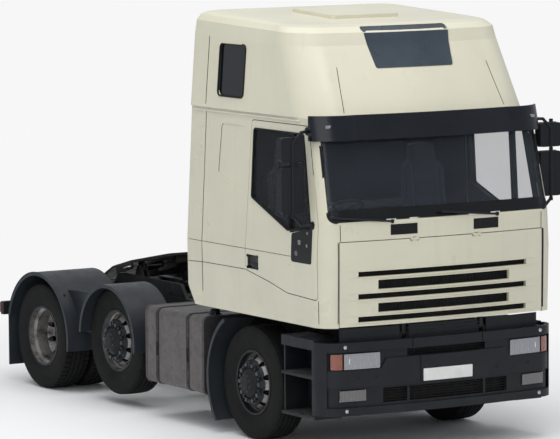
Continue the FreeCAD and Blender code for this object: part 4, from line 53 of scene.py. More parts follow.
CAMERA_UP = (0.060439, 0.084398, 0.994597)
CAMERA_BACK = (-0.518479, -0.848799, 0.103533)

scene = bpy.context.scene


def placed(name, data):
    """A new object of the scene that holds the data."""
    obj = bpy.data.objects.new(name, data)
    scene.collection.objects.link(obj)
    return obj


camera_data = bpy.data.cameras.new("photo_camera")
camera_data.sensor_width = SENSOR_MM
camera_data.lens = FOCAL_PX / PHOTO_W * SENSOR_MM
camera_data.shift_x = (PHOTO_W / 2 - CENTRE_PX[0]) / PHOTO_W
camera_data.shift_y = (CENTRE_PX[1] - PHOTO_H / 2) / PHOTO_W
camera_data.clip_end = 300.0
camera = placed("photo_camera", camera_data)
aim = Matrix((CAMERA_RIGHT, CAMERA_UP, CAMERA_BACK)).transposed().to_4x4()
camera.matrix_world = Matrix.Translation(CAMERA_AT) @ aim
scene.camera = camera
scene.view_settings.view_transform = "Standard"


# The yard it stands in: a pale sweep of floor and backdrop under a soft sky, with two broad lamps.
# Camera rays see the backdrop white, and the light on the truck stays plain.
class Shade:
    """One procedural material: a Principled shader and the nodes that feed it."""

    def __init__(self, name, **settings):
        self.mat = bpy.data.materials.new(name)
        self.mat.use_nodes = True
        self.nodes = self.mat.node_tree.nodes
        self.links = self.mat.node_tree.links
        self.bsdf = self.nodes["Principled BSDF"]
        for key, value in settings.items():
            self.bsdf.inputs[key.replace("_", " ")].default_value = value
        self.place = self.nodes.new("ShaderNodeTexCoord").outputs["Object"]

    def put(self, socket, value):
        """Links the socket to another node's output, or sets it to a plain value."""
        if hasattr(value, "links"):
            self.links.new(value, socket)
        else:
            socket.default_value = value

    def node(self, kind, **inputs):
        """A new node with the named inputs linked or set."""
        made = self.nodes.new("ShaderNode" + kind)
        for key, value in inputs.items():
            self.put(made.inputs[key.replace("_", " ")], value)
        return made

    def effect(self, group, **inputs):
        """A shared effect's group with this material's own values in it."""
        made = self.node("Group")
        made.node_tree = group
        for key, value in inputs.items():
            self.put(made.inputs[key.replace("_", " ")], value)
        return made.outputs[0]

    def stretched(self, scale):
        return self.node("Mapping", Vector=self.place, Scale=scale).outputs[0]

    def noise(self, scale, detail=3.0, rough=0.55, vector=None):
        node = self.node("TexNoise", Vector=vector or self.place, Scale=scale, Detail=detail, Roughness=rough)
        return node.outputs["Fac"]

    def cells(self, scale):
        return self.node("TexVoronoi", Vector=self.place, Scale=scale).outputs["Distance"]

    def waves(self, scale, direction, vector=None):
        node = self.node("TexWave", Vector=vector or self.place, Scale=scale)
        node.bands_direction = direction
        return node.outputs["Fac"]

    def span(self, value, low, high, out_low=0.0, out_high=1.0):
        return self.node("MapRange", Value=value, From_Min=low, From_Max=high, To_Min=out_low,
                         To_Max=out_high).outputs[0]

    def cloud(self, scale, detail, rough=0.55, low=0.3, high=0.7, out_low=0.0, out_high=1.0):
        """Noise drawn out between two of its levels."""
        return self.effect(mottle, Place=self.place, Scale=scale, Detail=detail, Rough=rough, Low=low,
                           High=high, Out_Low=out_low, Out_High=out_high)

    def math(self, kind, a, b):
        node = self.node("Math")
        node.operation = kind
        self.put(node.inputs[0], a)
        self.put(node.inputs[1], b)
        return node.outputs[0]

    def mix(self, factor, a, b):
        node = self.node("Mix")
        node.data_type = "RGBA"
        self.put(node.inputs["Factor"], factor)
        for name, value in (("A", a), ("B", b)):
            socket = [s for s in node.inputs if s.name == name and s.type == "RGBA"][0]
            self.put(socket, value if hasattr(value, "links") else (*value, 1.0))
        return [s for s in node.outputs if s.type == "RGBA"][0]

    def bump(self, height, strength, distance):
        node = self.node("Bump", Strength=strength, Distance=distance, Height=height)
        self.links.new(node.outputs[0], self.bsdf.inputs["Normal"])

    def colour(self, value):
        self.links.new(value, self.bsdf.inputs["Base Color"])

    def rough(self, value):
        self.links.new(value, self.bsdf.inputs["Roughness"])


def effect_group(name, places, values):
    """An empty shader node group with its named inputs and one value output."""
    group = bpy.data.node_groups.new(name, "ShaderNodeTree")
    for socket, kind in [(p, "Vector") for p in places] + [(v, "Float") for v in values]:
        group.interface.new_socket(socket, in_out="INPUT", socket_type="NodeSocket" + kind)
    group.interface.new_socket("Value", in_out="OUTPUT", socket_type="NodeSocketFloat")
    given, result = group.nodes.new("NodeGroupInput"), group.nodes.new("NodeGroupOutput")
    return group, given.outputs, result.inputs[0]


def drawn_out(group, value, ends):
    """Map range inside a group, its four ends linked or set."""
    node = group.nodes.new("ShaderNodeMapRange")
    group.links.new(value, node.inputs["Value"])
    for key, end in zip(("From Min", "From Max", "To Min", "To Max"), ends):
        if hasattr(end, "links"):
            group.links.new(end, node.inputs[key])
        else:
            node.inputs[key].default_value = end
    return node.outputs[0]


def product(group, first, second):
    """Two values multiplied inside a group."""
    node = group.nodes.new("ShaderNodeMath")
    node.operation = "MULTIPLY"
    group.links.new(first, node.inputs[0])
    group.links.new(second, node.inputs[1])
    return node.outputs[0]


def mottle_group():
    """Cloudy change over a surface: noise drawn out between two of its levels."""
    ends = ("Low", "High", "Out Low", "Out High")
    group, given, result = effect_group("mottle", ("Place",), ("Scale", "Detail", "Rough") + ends)
    noise = group.nodes.new("ShaderNodeTexNoise")
    for key, name in (("Vector", "Place"), ("Scale", "Scale"), ("Detail", "Detail"), ("Roughness", "Rough")):
        group.links.new(given[name], noise.inputs[key])
    ends = [given[name] for name in ends]
    group.links.new(drawn_out(group, noise.outputs["Fac"], ends), result)
    return group


mottle = mottle_group()


def steps(low, high, count):
    """Even steps from low to high, both ends included."""
    return [low + (high - low) * k / count for k in range(count + 1)]


PALE = (0.93, 0.93, 0.93)
LEVEL_SHARE, NEAR_Y, FAR_Y, RISE = 0.6, -40, 50, 30
sweep = bmesh.new()
rows = []
for t in steps(0, 1, 24):
    if t < LEVEL_SHARE:
        y, z = NEAR_Y + (FAR_Y - NEAR_Y) * t / LEVEL_SHARE, 0.0
    else:
        bend = (t - LEVEL_SHARE) / (1 - LEVEL_SHARE) * math.pi / 2
        y, z = FAR_Y + RISE * math.sin(bend), RISE - RISE * math.cos(bend)
    rows.append([sweep.verts.new((x, y, z)) for x in (-60, -20, 20, 60)])
for a, b in zip(rows, rows[1:]):
    for k in range(3):
        sweep.faces.new((a[k], a[k + 1], b[k + 1], b[k]))
floor_mesh = bpy.data.meshes.new("studio_floor")
sweep.to_mesh(floor_mesh)
sweep.free()
floor = placed("studio_floor", floor_mesh)
ground = Shade("studio_floor", Roughness=0.9, Specular_IOR_Level=0.1)
ground.colour(ground.mix(ground.cloud(0.4, 3.0), PALE, (0.96, 0.96, 0.96)))
far = ground.node("VectorMath")
far.operation = "LENGTH"
ground.put(far.inputs[0], ground.stretched((0.8, 0.6, 1.0)))
fade = ground.span(far.outputs["Value"], 1.7, 4.6)
seen = ground.node("LightPath").outputs["Is Camera Ray"]
white = ground.node("Emission", Color=(*PALE, 1.0))
blend = ground.node("MixShader")
for socket, value in zip(blend.inputs, (ground.math("MULTIPLY", fade, seen), ground.bsdf.outputs[0],
                                        white.outputs[0])):
    ground.put(socket, value)
ground.put(ground.nodes["Material Output"].inputs[0], blend.outputs[0])
floor_mesh.materials.append(ground.mat)

world = bpy.data.worlds.new("studio_sky")
scene.world = world
world.use_nodes = True
sky = world.node_tree
background = sky.nodes["Background"]
background.inputs["Color"].default_value = (0.93, 0.96, 1.0, 1.0)
background.inputs["Strength"].default_value = 0.52
bright = sky.nodes.new("ShaderNodeBackground")
bright.inputs["Color"].default_value = (*PALE, 1.0)
rays = sky.nodes.new("ShaderNodeLightPath")
switch = sky.nodes.new("ShaderNodeMixShader")
for socket, value in zip(switch.inputs, (rays.outputs["Is Camera Ray"], background.outputs[0],
                                         bright.outputs[0])):
    sky.links.new(value, socket)
sky.links.new(switch.outputs[0], sky.nodes["World Output"].inputs[0])


def lamp(name, at, target, size, power):
    data = bpy.data.lights.new(name, "AREA")
    data.shape = "RECTANGLE"
    data.size, data.size_y = size
    data.energy = power
    obj = placed(name, data)
    obj.location = at
    obj.rotation_mode = "QUATERNION"
    obj.rotation_quaternion = (Vector(target) - Vector(at)).to_track_quat("-Z", "Y")


lamp("overhead_bank", (-2, -3, 13), (0, 0, 2), (12, 12), 1130)
lamp("front_bank", (-9, -14, 7), (0, 0, 1.6), (9, 7), 420)


# Frame: two pressed steel rails with tubular cross members, springs, axle beams and mounts, black and oily.
# Hexagon bolts in rows hold the cross members and the sub-frame to the rails.
AXLE_Y = -1.680
AXLES = {"front": (0.0, 0.522), "mid": (2.555, 0.622), "drive": (3.960, 0.522)}
SIDES = ((1, "left"), (-1, "right"))
both = (1, -1)
SHARP = 38


def flat(value, times):
    """The colour made darker or lighter."""
    return tuple(min(v * times, 1.0) for v in value)


DUST = (0.24, 0.22, 0.19)


def metal(name, base, roughness, metallic=1.0, brushed=(1.0, 1.0, 1.0), stain=0.3, grime=DUST):
    """Metal or painted steel with brush marks and spots of grime."""
    shade = Shade(name, Roughness=roughness, Metallic=metallic, Specular_IOR_Level=0.3)
    brush = shade.noise(60.0, 4.0, 0.7, shade.stretched(brushed))
    colour = shade.mix(shade.span(brush, 0.3, 0.7), flat(base, 0.8), flat(base, 1.15))
    shade.colour(shade.mix(shade.cloud(9.0, 7.0, 0.72, 0.48, 0.68, 0.0, stain), colour, grime))
    shade.rough(shade.cloud(14.0, 6.0, 0.7, out_low=roughness * 0.7, out_high=roughness * 1.4))
    shade.bump(brush, 0.15, 0.0006)
    return shade.mat


def finish(material, *nodes):
    """Gives solids of the frame their material."""
    for node in nodes:
        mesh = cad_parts[node].data
        mesh.materials.clear()
        mesh.materials.append(material)


def row(x, y, z):
    """A point whose y is counted from the front axle, in the frame's own place."""
    return Vector((x, y + AXLE_Y, z))


class Kit:
    """Gathers forms into one mesh, which becomes one piece riding on one body."""

    def __init__(self):
        self.bm = bmesh.new()

    def faces(self, rings, closed_ring=True, closed_path=False, caps=True):
        """Faces between rings of points; caps close the two ends of an open path."""
        rows = [[self.bm.verts.new(p) for p in ring] for ring in rings]
        n = len(rows[0])
        pairs = list(zip(rows, rows[1:]))
        if closed_path:
            pairs.append((rows[-1], rows[0]))
        for first, second in pairs:
            for k in range(n if closed_ring else n - 1):
                self.bm.faces.new((first[k], first[(k + 1) % n], second[(k + 1) % n], second[k]))
        if caps and not closed_path and closed_ring:
            self.bm.faces.new(rows[0][::-1])
            self.bm.faces.new(rows[-1])
        return self

    def tube(self, points, radius, closed=False, sides=6, flat_to=None):
        """Round bead along points; flat_to gives (direction, share) to press it flat."""
        points = [Vector(p) for p in points]
        n = len(points)
        if n < 2:
            return self
        rings = []
        side = None
        for i, point in enumerate(points):
            if closed:
                along = points[(i + 1) % n] - points[i - 1]
            else:
                along = points[min(i + 1, n - 1)] - points[max(i - 1, 0)]
            along.normalize()
            if side is None:
                side = along.orthogonal().normalized()
            side = (side - along * side.dot(along)).normalized()
            other = along.cross(side)
            r = radius(i / max(n - 1, 1)) if callable(radius) else radius
            ring = []
            for k in range(sides):
                a = 2 * math.pi * k / sides
                offset = side * (math.cos(a) * r) + other * (math.sin(a) * r)
                if flat_to:
                    offset = offset - flat_to[0] * (offset.dot(flat_to[0]) * (1 - flat_to[1]))
                ring.append(point + offset)
            rings.append(ring)
        if closed:
            start = min(range(sides), key=lambda k: (rings[-1][k] - rings[0][0]).length)
            if start:
                rings.append([rings[0][(k - start) % sides] for k in range(sides)])
                return self.faces(rings, True, False, False)
        return self.faces(rings, True, closed)

    def bead(self, skin, points, view, lift, gap, radius, sides=6, closed=False):
        """Round bead along a line that is laid on a skin."""
        return self.tube(skin.line(points, view, lift, gap, closed), radius, closed, sides)

    def turned(self, profile, centre, axis, count=32):
        """Turned form from (along, radius) pairs about an axis."""
        axis = Vector(axis).normalized()
        side = axis.orthogonal().normalized()
        other = axis.cross(side)
        rings = []
        for k in range(count):
            a = 2 * math.pi * k / count
            out = side * math.cos(a) + other * math.sin(a)
            rings.append([Vector(centre) + axis * x + out * r for x, r in profile])
        return self.faces(rings, False, True)

    def bolt(self, centre, axis, r, h):
        """Hexagon head on a round washer."""
        self.turned([(0, 0.0001), (0, r * 1.5), (h * 0.2, r * 1.45), (h * 0.25, 0.0001)], centre, axis, 12)
        return self.turned([(h * 0.25, r), (h * 0.9, r), (h, r * 0.82), (h, 0.0001)], centre, axis, 6)

    def prism(self, points, push, bevel, segments=2):
        """Outline of 3D points pushed along a vector, its edges softened."""
        base = [self.bm.verts.new(p) for p in points]
        top = [self.bm.verts.new(Vector(p) + Vector(push)) for p in points]
        n = len(points)
        made = [self.bm.faces.new(base), self.bm.faces.new(top[::-1])]
        for k in range(n):
            made.append(self.bm.faces.new((base[(k + 1) % n], base[k], top[k], top[(k + 1) % n])))
        bmesh.ops.recalc_face_normals(self.bm, faces=made)
        edges = list({e for f in made for e in f.edges})
        bmesh.ops.bevel(self.bm, geom=edges, offset=bevel, segments=segments, affect="EDGES", profile=0.6,
                        clamp_overlap=True)
        return self

    def slab(self, low, high, bevel, segments=2):
        """Softened box between two corners."""
        low, high = Vector(low), Vector(high)
        ground = ((low.x, low.y), (high.x, low.y), (high.x, high.y), (low.x, high.y))
        return self.prism([(x, y, low.z) for x, y in ground], (0, 0, high.z - low.z), bevel, segments)

    def block(self, x0, x1, y0, y1, z0, z1, bevel, segments=2):
        """Softened box whose y is counted from the front axle."""
        x0, x1 = sorted((x0, x1))
        return self.slab(row(x0, y0, z0), row(x1, y1, z1), bevel, segments)

    def patch(self, points, view, skin, lift, thick, gap=0.06):
        """Plate cut to a 2D outline and laid on the skin, lift above it and thick deep."""
        flat = bmesh.new()
        flat.faces.new([flat.verts.new((p[0], p[1], 0)) for p in points])
        for axis in (0, 1):
            low = min(p[axis] for p in points)
            high = max(p[axis] for p in points)
            n = max(1, int((high - low) / gap))
            way = Vector((1 - axis, axis, 0))
            for k in range(1, n):
                everything = flat.verts[:] + flat.edges[:] + flat.faces[:]
                place = way * (low + (high - low) * k / n)
                bmesh.ops.bisect_plane(flat, geom=everything, plane_co=place, plane_no=way)
        out = Vector(skin.FROM[view])
        flat.verts.index_update()
        upper, lower = {}, {}
        found = [(v, skin.lay(v.co.x, v.co.y, view)) for v in flat.verts]
        met = [pair for pair in found if pair[1] is not None]
        for v, hit in found:
            if hit is None:
                near = min(met, key=lambda pair: (pair[0].co - v.co).length)[1]
                hit = skin.level(v.co.x, v.co.y, view, near)
            upper[v.index] = self.bm.verts.new(hit + out * lift)
            lower[v.index] = self.bm.verts.new(hit + out * (lift - thick))
        made = []
        for f in flat.faces:
            made.append(self.bm.faces.new([upper[v.index] for v in f.verts]))
            made.append(self.bm.faces.new([lower[v.index] for v in reversed(f.verts)]))
        for e in flat.edges:
            if len(e.link_faces) == 1:
                a, b = e.verts[0].index, e.verts[1].index
                made.append(self.bm.faces.new((upper[a], upper[b], lower[b], lower[a])))
        flat.free()
        bmesh.ops.recalc_face_normals(self.bm, faces=made)
        return self

    def outward(self):
        """Turns all faces to look outwards."""
        bmesh.ops.recalc_face_normals(self.bm, faces=self.bm.faces)
        return self

    def mesh(self, name):
        made = bpy.data.meshes.new(name)
        self.bm.to_mesh(made)
        self.bm.free()
        return made

    def piece(self, name, body, material, slot, sharp=SHARP, replaces=None):
        self.bm.normal_update()
        mesh = self.mesh(name)
        mesh.shade_smooth()
        mesh.set_sharp_from_angle(angle=math.radians(sharp))
        mesh.materials.append(material)
        obj = placed(name, mesh)
        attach(obj, body)
        if replaces:
            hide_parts(*replaces)
        return obj


def repeat_group():
    """Geometry Nodes tree that puts one unit on each point and makes the copies real."""
    group = bpy.data.node_groups.new("repeat_on_points", "GeometryNodeTree")
    for name, kind in (("Points", "Geometry"), ("Unit", "Object"), ("Finish", "Material")):
        group.interface.new_socket(name, in_out="INPUT", socket_type="NodeSocket" + kind)
    group.interface.new_socket("Mesh", in_out="OUTPUT", socket_type="NodeSocketGeometry")
    kinds = ("NodeGroupInput", "GeometryNodeObjectInfo", "GeometryNodeMeshToPoints",
             "GeometryNodeInputNamedAttribute", "FunctionNodeEulerToRotation", "GeometryNodeInstanceOnPoints",
             "GeometryNodeRealizeInstances", "GeometryNodeSetMaterial", "NodeGroupOutput")
    given, unit, points, turn, euler, copies, real, dressed, out = [group.nodes.new(k) for k in kinds]
    turn.data_type = "FLOAT_VECTOR"
    turn.inputs["Name"].default_value = "turn"
    for start, end in ((given.outputs["Points"], points.inputs[0]), (given.outputs["Unit"], unit.inputs[0]),
                       (points.outputs[0], copies.inputs["Points"]),
                       (unit.outputs["Geometry"], copies.inputs["Instance"]),
                       (turn.outputs[0], euler.inputs[0]), (euler.outputs[0], copies.inputs["Rotation"]),
                       (copies.outputs[0], real.inputs[0]), (real.outputs[0], dressed.inputs[0]),
                       (given.outputs["Finish"], dressed.inputs["Material"]),
                       (dressed.outputs[0], out.inputs[0])):
        group.links.new(start, end)
    return group


REPEAT = repeat_group()


def evaluated(obj):
    """The object's mesh as its modifiers leave it; the modifiers then go."""
    graph = bpy.context.evaluated_depsgraph_get()
    mesh = bpy.data.meshes.new_from_object(obj.evaluated_get(graph))
    obj.modifiers.clear()
    obj.data = mesh
    return mesh


def repeated(name, unit, places, body, material):
    source = placed(name + "_unit", unit.mesh(name + "_unit"))
    spots = bpy.data.meshes.new(name)
    spots.from_pydata([tuple(point) for point, axis in places], [], [])
    turn = spots.attributes.new("turn", "FLOAT_VECTOR", "POINT")
    for k, (point, axis) in enumerate(places):
        turn.data[k].vector = Vector(axis).to_track_quat("Z", "Y").to_euler()
    obj = placed(name, spots)
    modifier = obj.modifiers.new("repeat", "NODES")
    modifier.node_group = REPEAT
    given = {"Unit": source, "Finish": material}
    for item in REPEAT.interface.items_tree:
        if item.name in given:
            modifier[item.identifier] = given[item.name]
    bpy.context.view_layer.update()
    shaped = evaluated(obj)
    shaped.shade_smooth()
    shaped.set_sharp_from_angle(angle=math.radians(SHARP))
    bpy.data.objects.remove(source)
    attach(obj, body)
    return obj


def hex_unit(r, h):
    return Kit().bolt((0, 0, 0), (0, 0, 1), r, h)


chassis = metal("chassis_paint", (0.009, 0.010, 0.011), 0.5, 0.0, stain=0.35, grime=(0.040, 0.034, 0.027))
dark_hub = metal("hub_iron", (0.014, 0.015, 0.017), 0.55, 0.3, stain=0.5, grime=(0.022, 0.017, 0.013))
finish(chassis, "rail_left", "rail_right", "crossmembers", "rear_bar", "axle_beams", "front_springs",
       "rear_suspension", "knuckle_left", "knuckle_right", "tie_rod", "prop_shaft", "cab_mounts",
       "side_boxes", "fifth_wheel_mount")
bolts = []
for side in both:
    bolts += [(row(side * 0.4250, -0.95 + 0.205 * k, z), (side, 0, 0))
              for k in range(27) for z in (0.775, 0.935)]
    bolts += [(row(side * 0.415, y, 1.020), (side, 0, 0)) for y in (2.50, 2.75, 3.00, 3.24, 3.66, 3.84)]
repeated("frame_bolts", hex_unit(0.0125, 0.010), bolts, "chassis", dark_hub)


# Tyres: black road rubber, dusty on the flanks, single in front and on the lifted axle and twin behind.
# Each replaces its plain solid with a bulged sidewall, moulded rings and a tread cut by grooves and lugs.
def rubber(name):
    shade = Shade(name, Roughness=0.82, Specular_IOR_Level=0.2)
    cloud = shade.cloud(6.0, 6.0, 0.7, 0.3, 0.75)
    colour = shade.mix(cloud, (0.0055, 0.006, 0.0065), (0.012, 0.012, 0.012))
    shade.colour(shade.mix(shade.cloud(16.0, 7.0, 0.75, 0.45, 0.8, 0.0, 0.4), colour, (0.024, 0.022, 0.020)))
    shade.bump(shade.noise(180.0, 3.0), 0.3, 0.0008)
    return shade.mat


tyre_rubber = rubber("tyre_rubber")
RIMS = ("rim_front_left", "rim_front_right", "rim_mid_left", "rim_mid_right", "rims_drive_left",
        "rims_drive_right")
finish(tyre_rubber, *[name.replace("rim", "tyre") for name in RIMS])
FLANK = [(0.1080, 0.2885), (0.1150, 0.2985), (0.1255, 0.3045), (0.1275, 0.3120), (0.1255, 0.3180),
         (0.1315, 0.3350), (0.1385, 0.3620), (0.1433, 0.3920), (0.1448, 0.4220), (0.1442, 0.4460),
         (0.1415, 0.4690), (0.1440, 0.4730), (0.1436, 0.4800), (0.1385, 0.4920), (0.1345, 0.5030),
         (0.1290, 0.5120)]
GROOVES = (0.071, 0.026, -0.026, -0.071)
GROOVE_DEPTH = 0.013
CROWN, CROWN_DROP, HALF_TREAD = 0.522, 0.006, 0.125
LUG_FROM = 0.51  # radius beyond which the lug cuts also lower the flank, by FLANK_SHARE of their depth
FLANK_SHARE = 0.7


def tyre(kit, centre, pitches, zigzag, lug):
    """Rings of the section round the axle; lug cuts the shoulder blocks apart."""
    columns = [(0.1235, False, True)]
    for g in GROOVES:
        outer = abs(g) > 0.05
        columns += [(g + 0.0050, False, outer and g > 0), (g + 0.0040, True, False),
                    (g - 0.0040, True, False), (g - 0.0050, False, outer and g < 0)]
    columns.append((-0.1235, False, True))
    rings = []
    for p in range(pitches):
        for part, cut in ((0.0, False), (0.60, False), (0.66, True), (0.94, True)):
            a = 2 * math.pi * (p + part) / pitches
            shift = zigzag * (abs(part - 0.5) * 4 - 1)
            drop = lug if cut else 0.0
            flank = [(x, r - (drop * FLANK_SHARE if r > LUG_FROM else 0.0)) for x, r in FLANK]
            section = list(flank)
            for x, low, shoulder in columns:
                top = CROWN - CROWN_DROP * (x / HALF_TREAD) ** 2
                moved = x + (shift if abs(x) < 0.12 else 0.0)
                section.append((moved, top - GROOVE_DEPTH if low else top - (drop if shoulder else 0.0)))
            section += [(-x, r) for x, r in reversed(flank)]
            rings.append([centre + Vector((x, r * math.cos(a), r * math.sin(a))) for x, r in section])
    kit.faces(rings, False, True)


# For each axle: the tyres' middle planes, the pitches round the tread, its zigzag and its lug cuts.
TREADS = {"front": ((1.012,), 64, 0.0015, 0.003), "mid": ((1.000,), 64, 0.0015, 0.003),
          "drive": ((0.726, 1.058), 56, 0.004, 0.010)}
for side, word in SIDES:
    for axle, (planes, pitches, zigzag, lug) in TREADS.items():
        kit = Kit()
        for x in planes:
            tyre(kit, row(x * side, *AXLES[axle]), pitches, zigzag, lug)
        mark = axle + "_" + word
        node = ("tyres_" if axle == "drive" else "tyre_") + mark
        kit.outward().piece(node + "_tread", "wheel_" + mark, tyre_rubber, "tyre_rubber", 32, (node,))

# Rims and hubs: painted steel discs, paler grey on their sloped faces between two radii.
# An iron cover closes each hub with a ring of small bolts, inside the ring of wheel nuts on their studs.
steel_grey = metal("wheel_paint", (0.022, 0.023, 0.025), 0.5, 0.2, stain=0.7, grime=(0.012, 0.011, 0.010))
barrel_grey = metal("wheel_barrel", (0.30, 0.29, 0.28), 0.42, 0.5, stain=0.95, grime=(0.035, 0.030, 0.026))
nut_iron = metal("nut_iron", (0.085, 0.095, 0.105), 0.45, 0.7, stain=0.5, grime=(0.05, 0.036, 0.026))
finish(steel_grey, *RIMS)


def second_look(node, material, chosen):
    """Gives the chosen faces of a solid one more material."""
    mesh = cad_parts[node].data
    mesh.materials.append(material)
    for face in mesh.polygons:
        if chosen(face):
            face.material_index = len(mesh.materials) - 1


def ring_places(centre, side, radius, count, phase=0.0):
    """Evenly spaced places round a wheel's axle line, all facing outwards."""
    angles = [2 * math.pi * (k + phase) / count for k in range(count)]
    return [(centre + Vector((0, math.cos(a) * radius, math.sin(a) * radius)), (side, 0, 0)) for a in angles]


for node in RIMS:
    hub = Vector(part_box(node)[0]).lerp(Vector(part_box(node)[1]), 0.5)
    edge = 0.264 if "front" in node else 0.30
    second_look(node, barrel_grey, lambda face: abs(face.normal.x) < 0.93
                and 0.212 < math.hypot(face.center.y - hub.y, face.center.z - hub.z) < edge)

# For each axle: the place of the hub's face along x, and how far its cover stands out.
HUBS = {"front": (1.158, 0.062), "mid": (1.146, 0.062), "drive": (0.904, 0.096)}
for side, word in SIDES:
    for axle, (face, nose) in HUBS.items():
        mark = axle + "_" + word
        body = "wheel_" + mark
        out = (side, 0, 0)
        centre = row(face * side, *AXLES[axle])
        profile = [(0.0005, 0.1425), (nose * 0.18, 0.1400), (nose * 0.5 + 0.002, 0.1270),
                   (nose * 0.62, 0.1180), (nose + 0.0005, 0.0880), (nose + 0.0035, 0.0850)]
        if axle == "drive":
            profile += [(nose + 0.0035, 0.078), (nose + 0.007, 0.076), (nose + 0.007, 0.020),
                        (nose + 0.007, 0.0001)]
        else:
            profile += [(nose + 0.0035, 0.0640), (nose + 0.010, 0.0600), (nose + 0.013, 0.0450),
                        (nose + 0.013, 0.0001)]
        cover = Kit()
        cover.turned(profile, centre, out, 40)
        cover.turned([(0.0005, 0.1995), (0.0022, 0.1960), (0.0022, 0.1430), (0.0, 0.1420)], centre, out, 40)
        cover.outward().piece("hub_cover_" + mark, body, dark_hub, "wheel_steel")
        repeated("wheel_nuts_" + mark, hex_unit(0.0225, 0.0330), ring_places(centre, side, 0.167, 10),
                 body, nut_iron)
        bolt_plane = centre + Vector(((nose + 0.003) * side, 0, 0))
        repeated("hub_bolts_" + mark, hex_unit(0.0070, 0.0060), ring_places(bolt_plane, side, 0.073, 8, 0.5),
                 body, nut_iron)

# Engine and radiator: a cast block with its gearbox, and a core of thin upright fins.
# Both sit between the rails under the cab and are seen when it is tilted.
casting = metal("engine_casting", (0.05, 0.055, 0.06), 0.6, 0.6, stain=0.6, grime=(0.030, 0.025, 0.020))
fin_core = metal("radiator_core", (0.09, 0.09, 0.095), 0.5, 0.8, (30.0, 1.0, 1.0))
finish(casting, "engine")
finish(fin_core, "radiator")


# Fuel tank: a sheet-metal box with rounded edges and welded end seams, held by two dark steel straps.
# On top sit the moulded filler cap and the gauge boss; the straps close with buckles and small bolts.
def rounded(points, radius, arc_steps=5):
    """The closed 2D outline with its corners turned by arcs."""
    out = []
    for i, point in enumerate(points):
        here = Vector(point)
        back = Vector(points[i - 1]) - here
        ahead = Vector(points[(i + 1) % len(points)]) - here
        half = back.angle(ahead) / 2
        reach = min(radius / math.tan(half), back.length / 2.1, ahead.length / 2.1)
        start = here + back.normalized() * reach
        end = here + ahead.normalized() * reach
        for k in range(arc_steps + 1):
            t = k / arc_steps
            out.append(start * (1 - t) ** 2 + here * 2 * t * (1 - t) + end * t ** 2)
    return out


def oblong(x0, x1, z0, z1, radius=0.0, arc_steps=5, side=1):
    """A rectangle with turned corners; side -1 gives its mirror image, wound the same way."""
    corners = [(side * x0, z0), (side * x1, z0), (side * x1, z1), (side * x0, z1)][::side]
    return rounded(corners, radius, arc_steps) if radius else corners


def road_film_group():
    """Mask of road dirt that thickens towards the wheels, broken up by noise."""
    group, given, result = effect_group("road_film", ("Place",), ("Top", "Bottom", "Patch", "Amount"))
    parts = group.nodes.new("ShaderNodeSeparateXYZ")
    group.links.new(given["Place"], parts.inputs[0])
    height = drawn_out(group, parts.outputs["Z"], (given["Top"], given["Bottom"], 0.0, 1.0))
    dirt = product(group, product(group, height, given["Patch"]), given["Amount"])
    group.links.new(dirt, result)
    return group


road_film = road_film_group()


def settled_dust_group():
    """Dust that has settled where a surface faces the sky, in patches."""
    group, given, result = effect_group("settled_dust", ("Normal",), ("Patch",))
    parts = group.nodes.new("ShaderNodeSeparateXYZ")
    group.links.new(given["Normal"], parts.inputs[0])
    facing = drawn_out(group, parts.outputs["Z"], (0.35, 0.95, 0.0, 1.0))
    group.links.new(product(group, facing, given["Patch"]), result)
    return group


settled_dust = settled_dust_group()


def plastic(name, base, roughness=0.5, dust=0.35, grain=420.0, film=0.3):
    """Moulded plastic with a fine leather grain, dusty where it faces up and near the road."""
    shade = Shade(name, Roughness=roughness, Specular_IOR_Level=0.26)
    colour = shade.mix(shade.cloud(2.4, 5.0), flat(base, 0.82), flat(base, 1.25))
    settled = shade.effect(settled_dust, Normal=shade.node("NewGeometry").outputs["Normal"],
                           Patch=shade.cloud(7.0, 6.0, 0.7, 0.25, 0.75, 0.0, dust))
    colour = shade.mix(settled, colour, DUST)
    dirt = shade.effect(road_film, Place=shade.place, Top=1.25, Bottom=0.25,
                        Patch=shade.cloud(3.0, 6.0, 0.65, 0.35), Amount=film)
    shade.colour(shade.mix(dirt, colour, flat(DUST, 0.7)))
    shade.rough(shade.cloud(11.0, 5.0, 0.7, out_low=roughness * 0.78, out_high=roughness * 1.3))
    shade.bump(shade.cells(grain), 0.22, 0.0005)
    return shade.mat


tank_metal = metal("tank_sheet", (0.135, 0.125, 0.123), 0.46, 0.45, (0.6, 0.25, 5.0), 0.55,
                   (0.07, 0.062, 0.057))
# A darker copy of the tank metal for the tank's front face only: painted shade, with real grime patches in
# it.
tank_end = metal("tank_end", (0.055, 0.055, 0.058), 0.5, 0.35, stain=0.5, grime=(0.035, 0.032, 0.030))
strap_dark = metal("strap_steel", (0.02, 0.02, 0.022), 0.5, 0.2)
gloss_black = plastic("gloss_black_panel", (0.006, 0.007, 0.008), 0.14, 0.03, 700.0, 0.03)
finish(tank_metal, "fuel_tank")
finish(strap_dark, "tank_brackets")
# Faces that look forward take the darker copy: painted shade on the front of the tank.
second_look("fuel_tank", tank_end, lambda face: face.normal.y < -0.6)
TANK = oblong(-1.2395, -0.5585, 0.3285, 1.0525, 0.061, 8)
TANK_TOP, UP = 1.051, (0, 0, 1)
kit = Kit()
for y in (0.732, 0.742, 1.773, 1.783):
    kit.tube([row(p.x, y, p.y) for p in TANK], 0.0034, True)
kit.piece("tank_seams", "chassis", tank_metal, "tank_alloy")
kit = Kit()
kit.turned([(0.0, 0.062), (0.010, 0.060), (0.012, 0.048), (0.034, 0.047), (0.040, 0.040), (0.040, 0.0001)],
           row(-1.02, 0.870, TANK_TOP), UP)
kit.block(-1.070, -0.970, 0.862, 0.878, 1.088, 1.100, 0.003)
kit.turned([(0.0, 0.030), (0.006, 0.029), (0.008, 0.022), (0.016, 0.021), (0.016, 0.0001)],
           row(-0.80, 1.25, TANK_TOP), UP, 24)
kit.piece("tank_filler", "chassis", gloss_black, "tank_alloy")
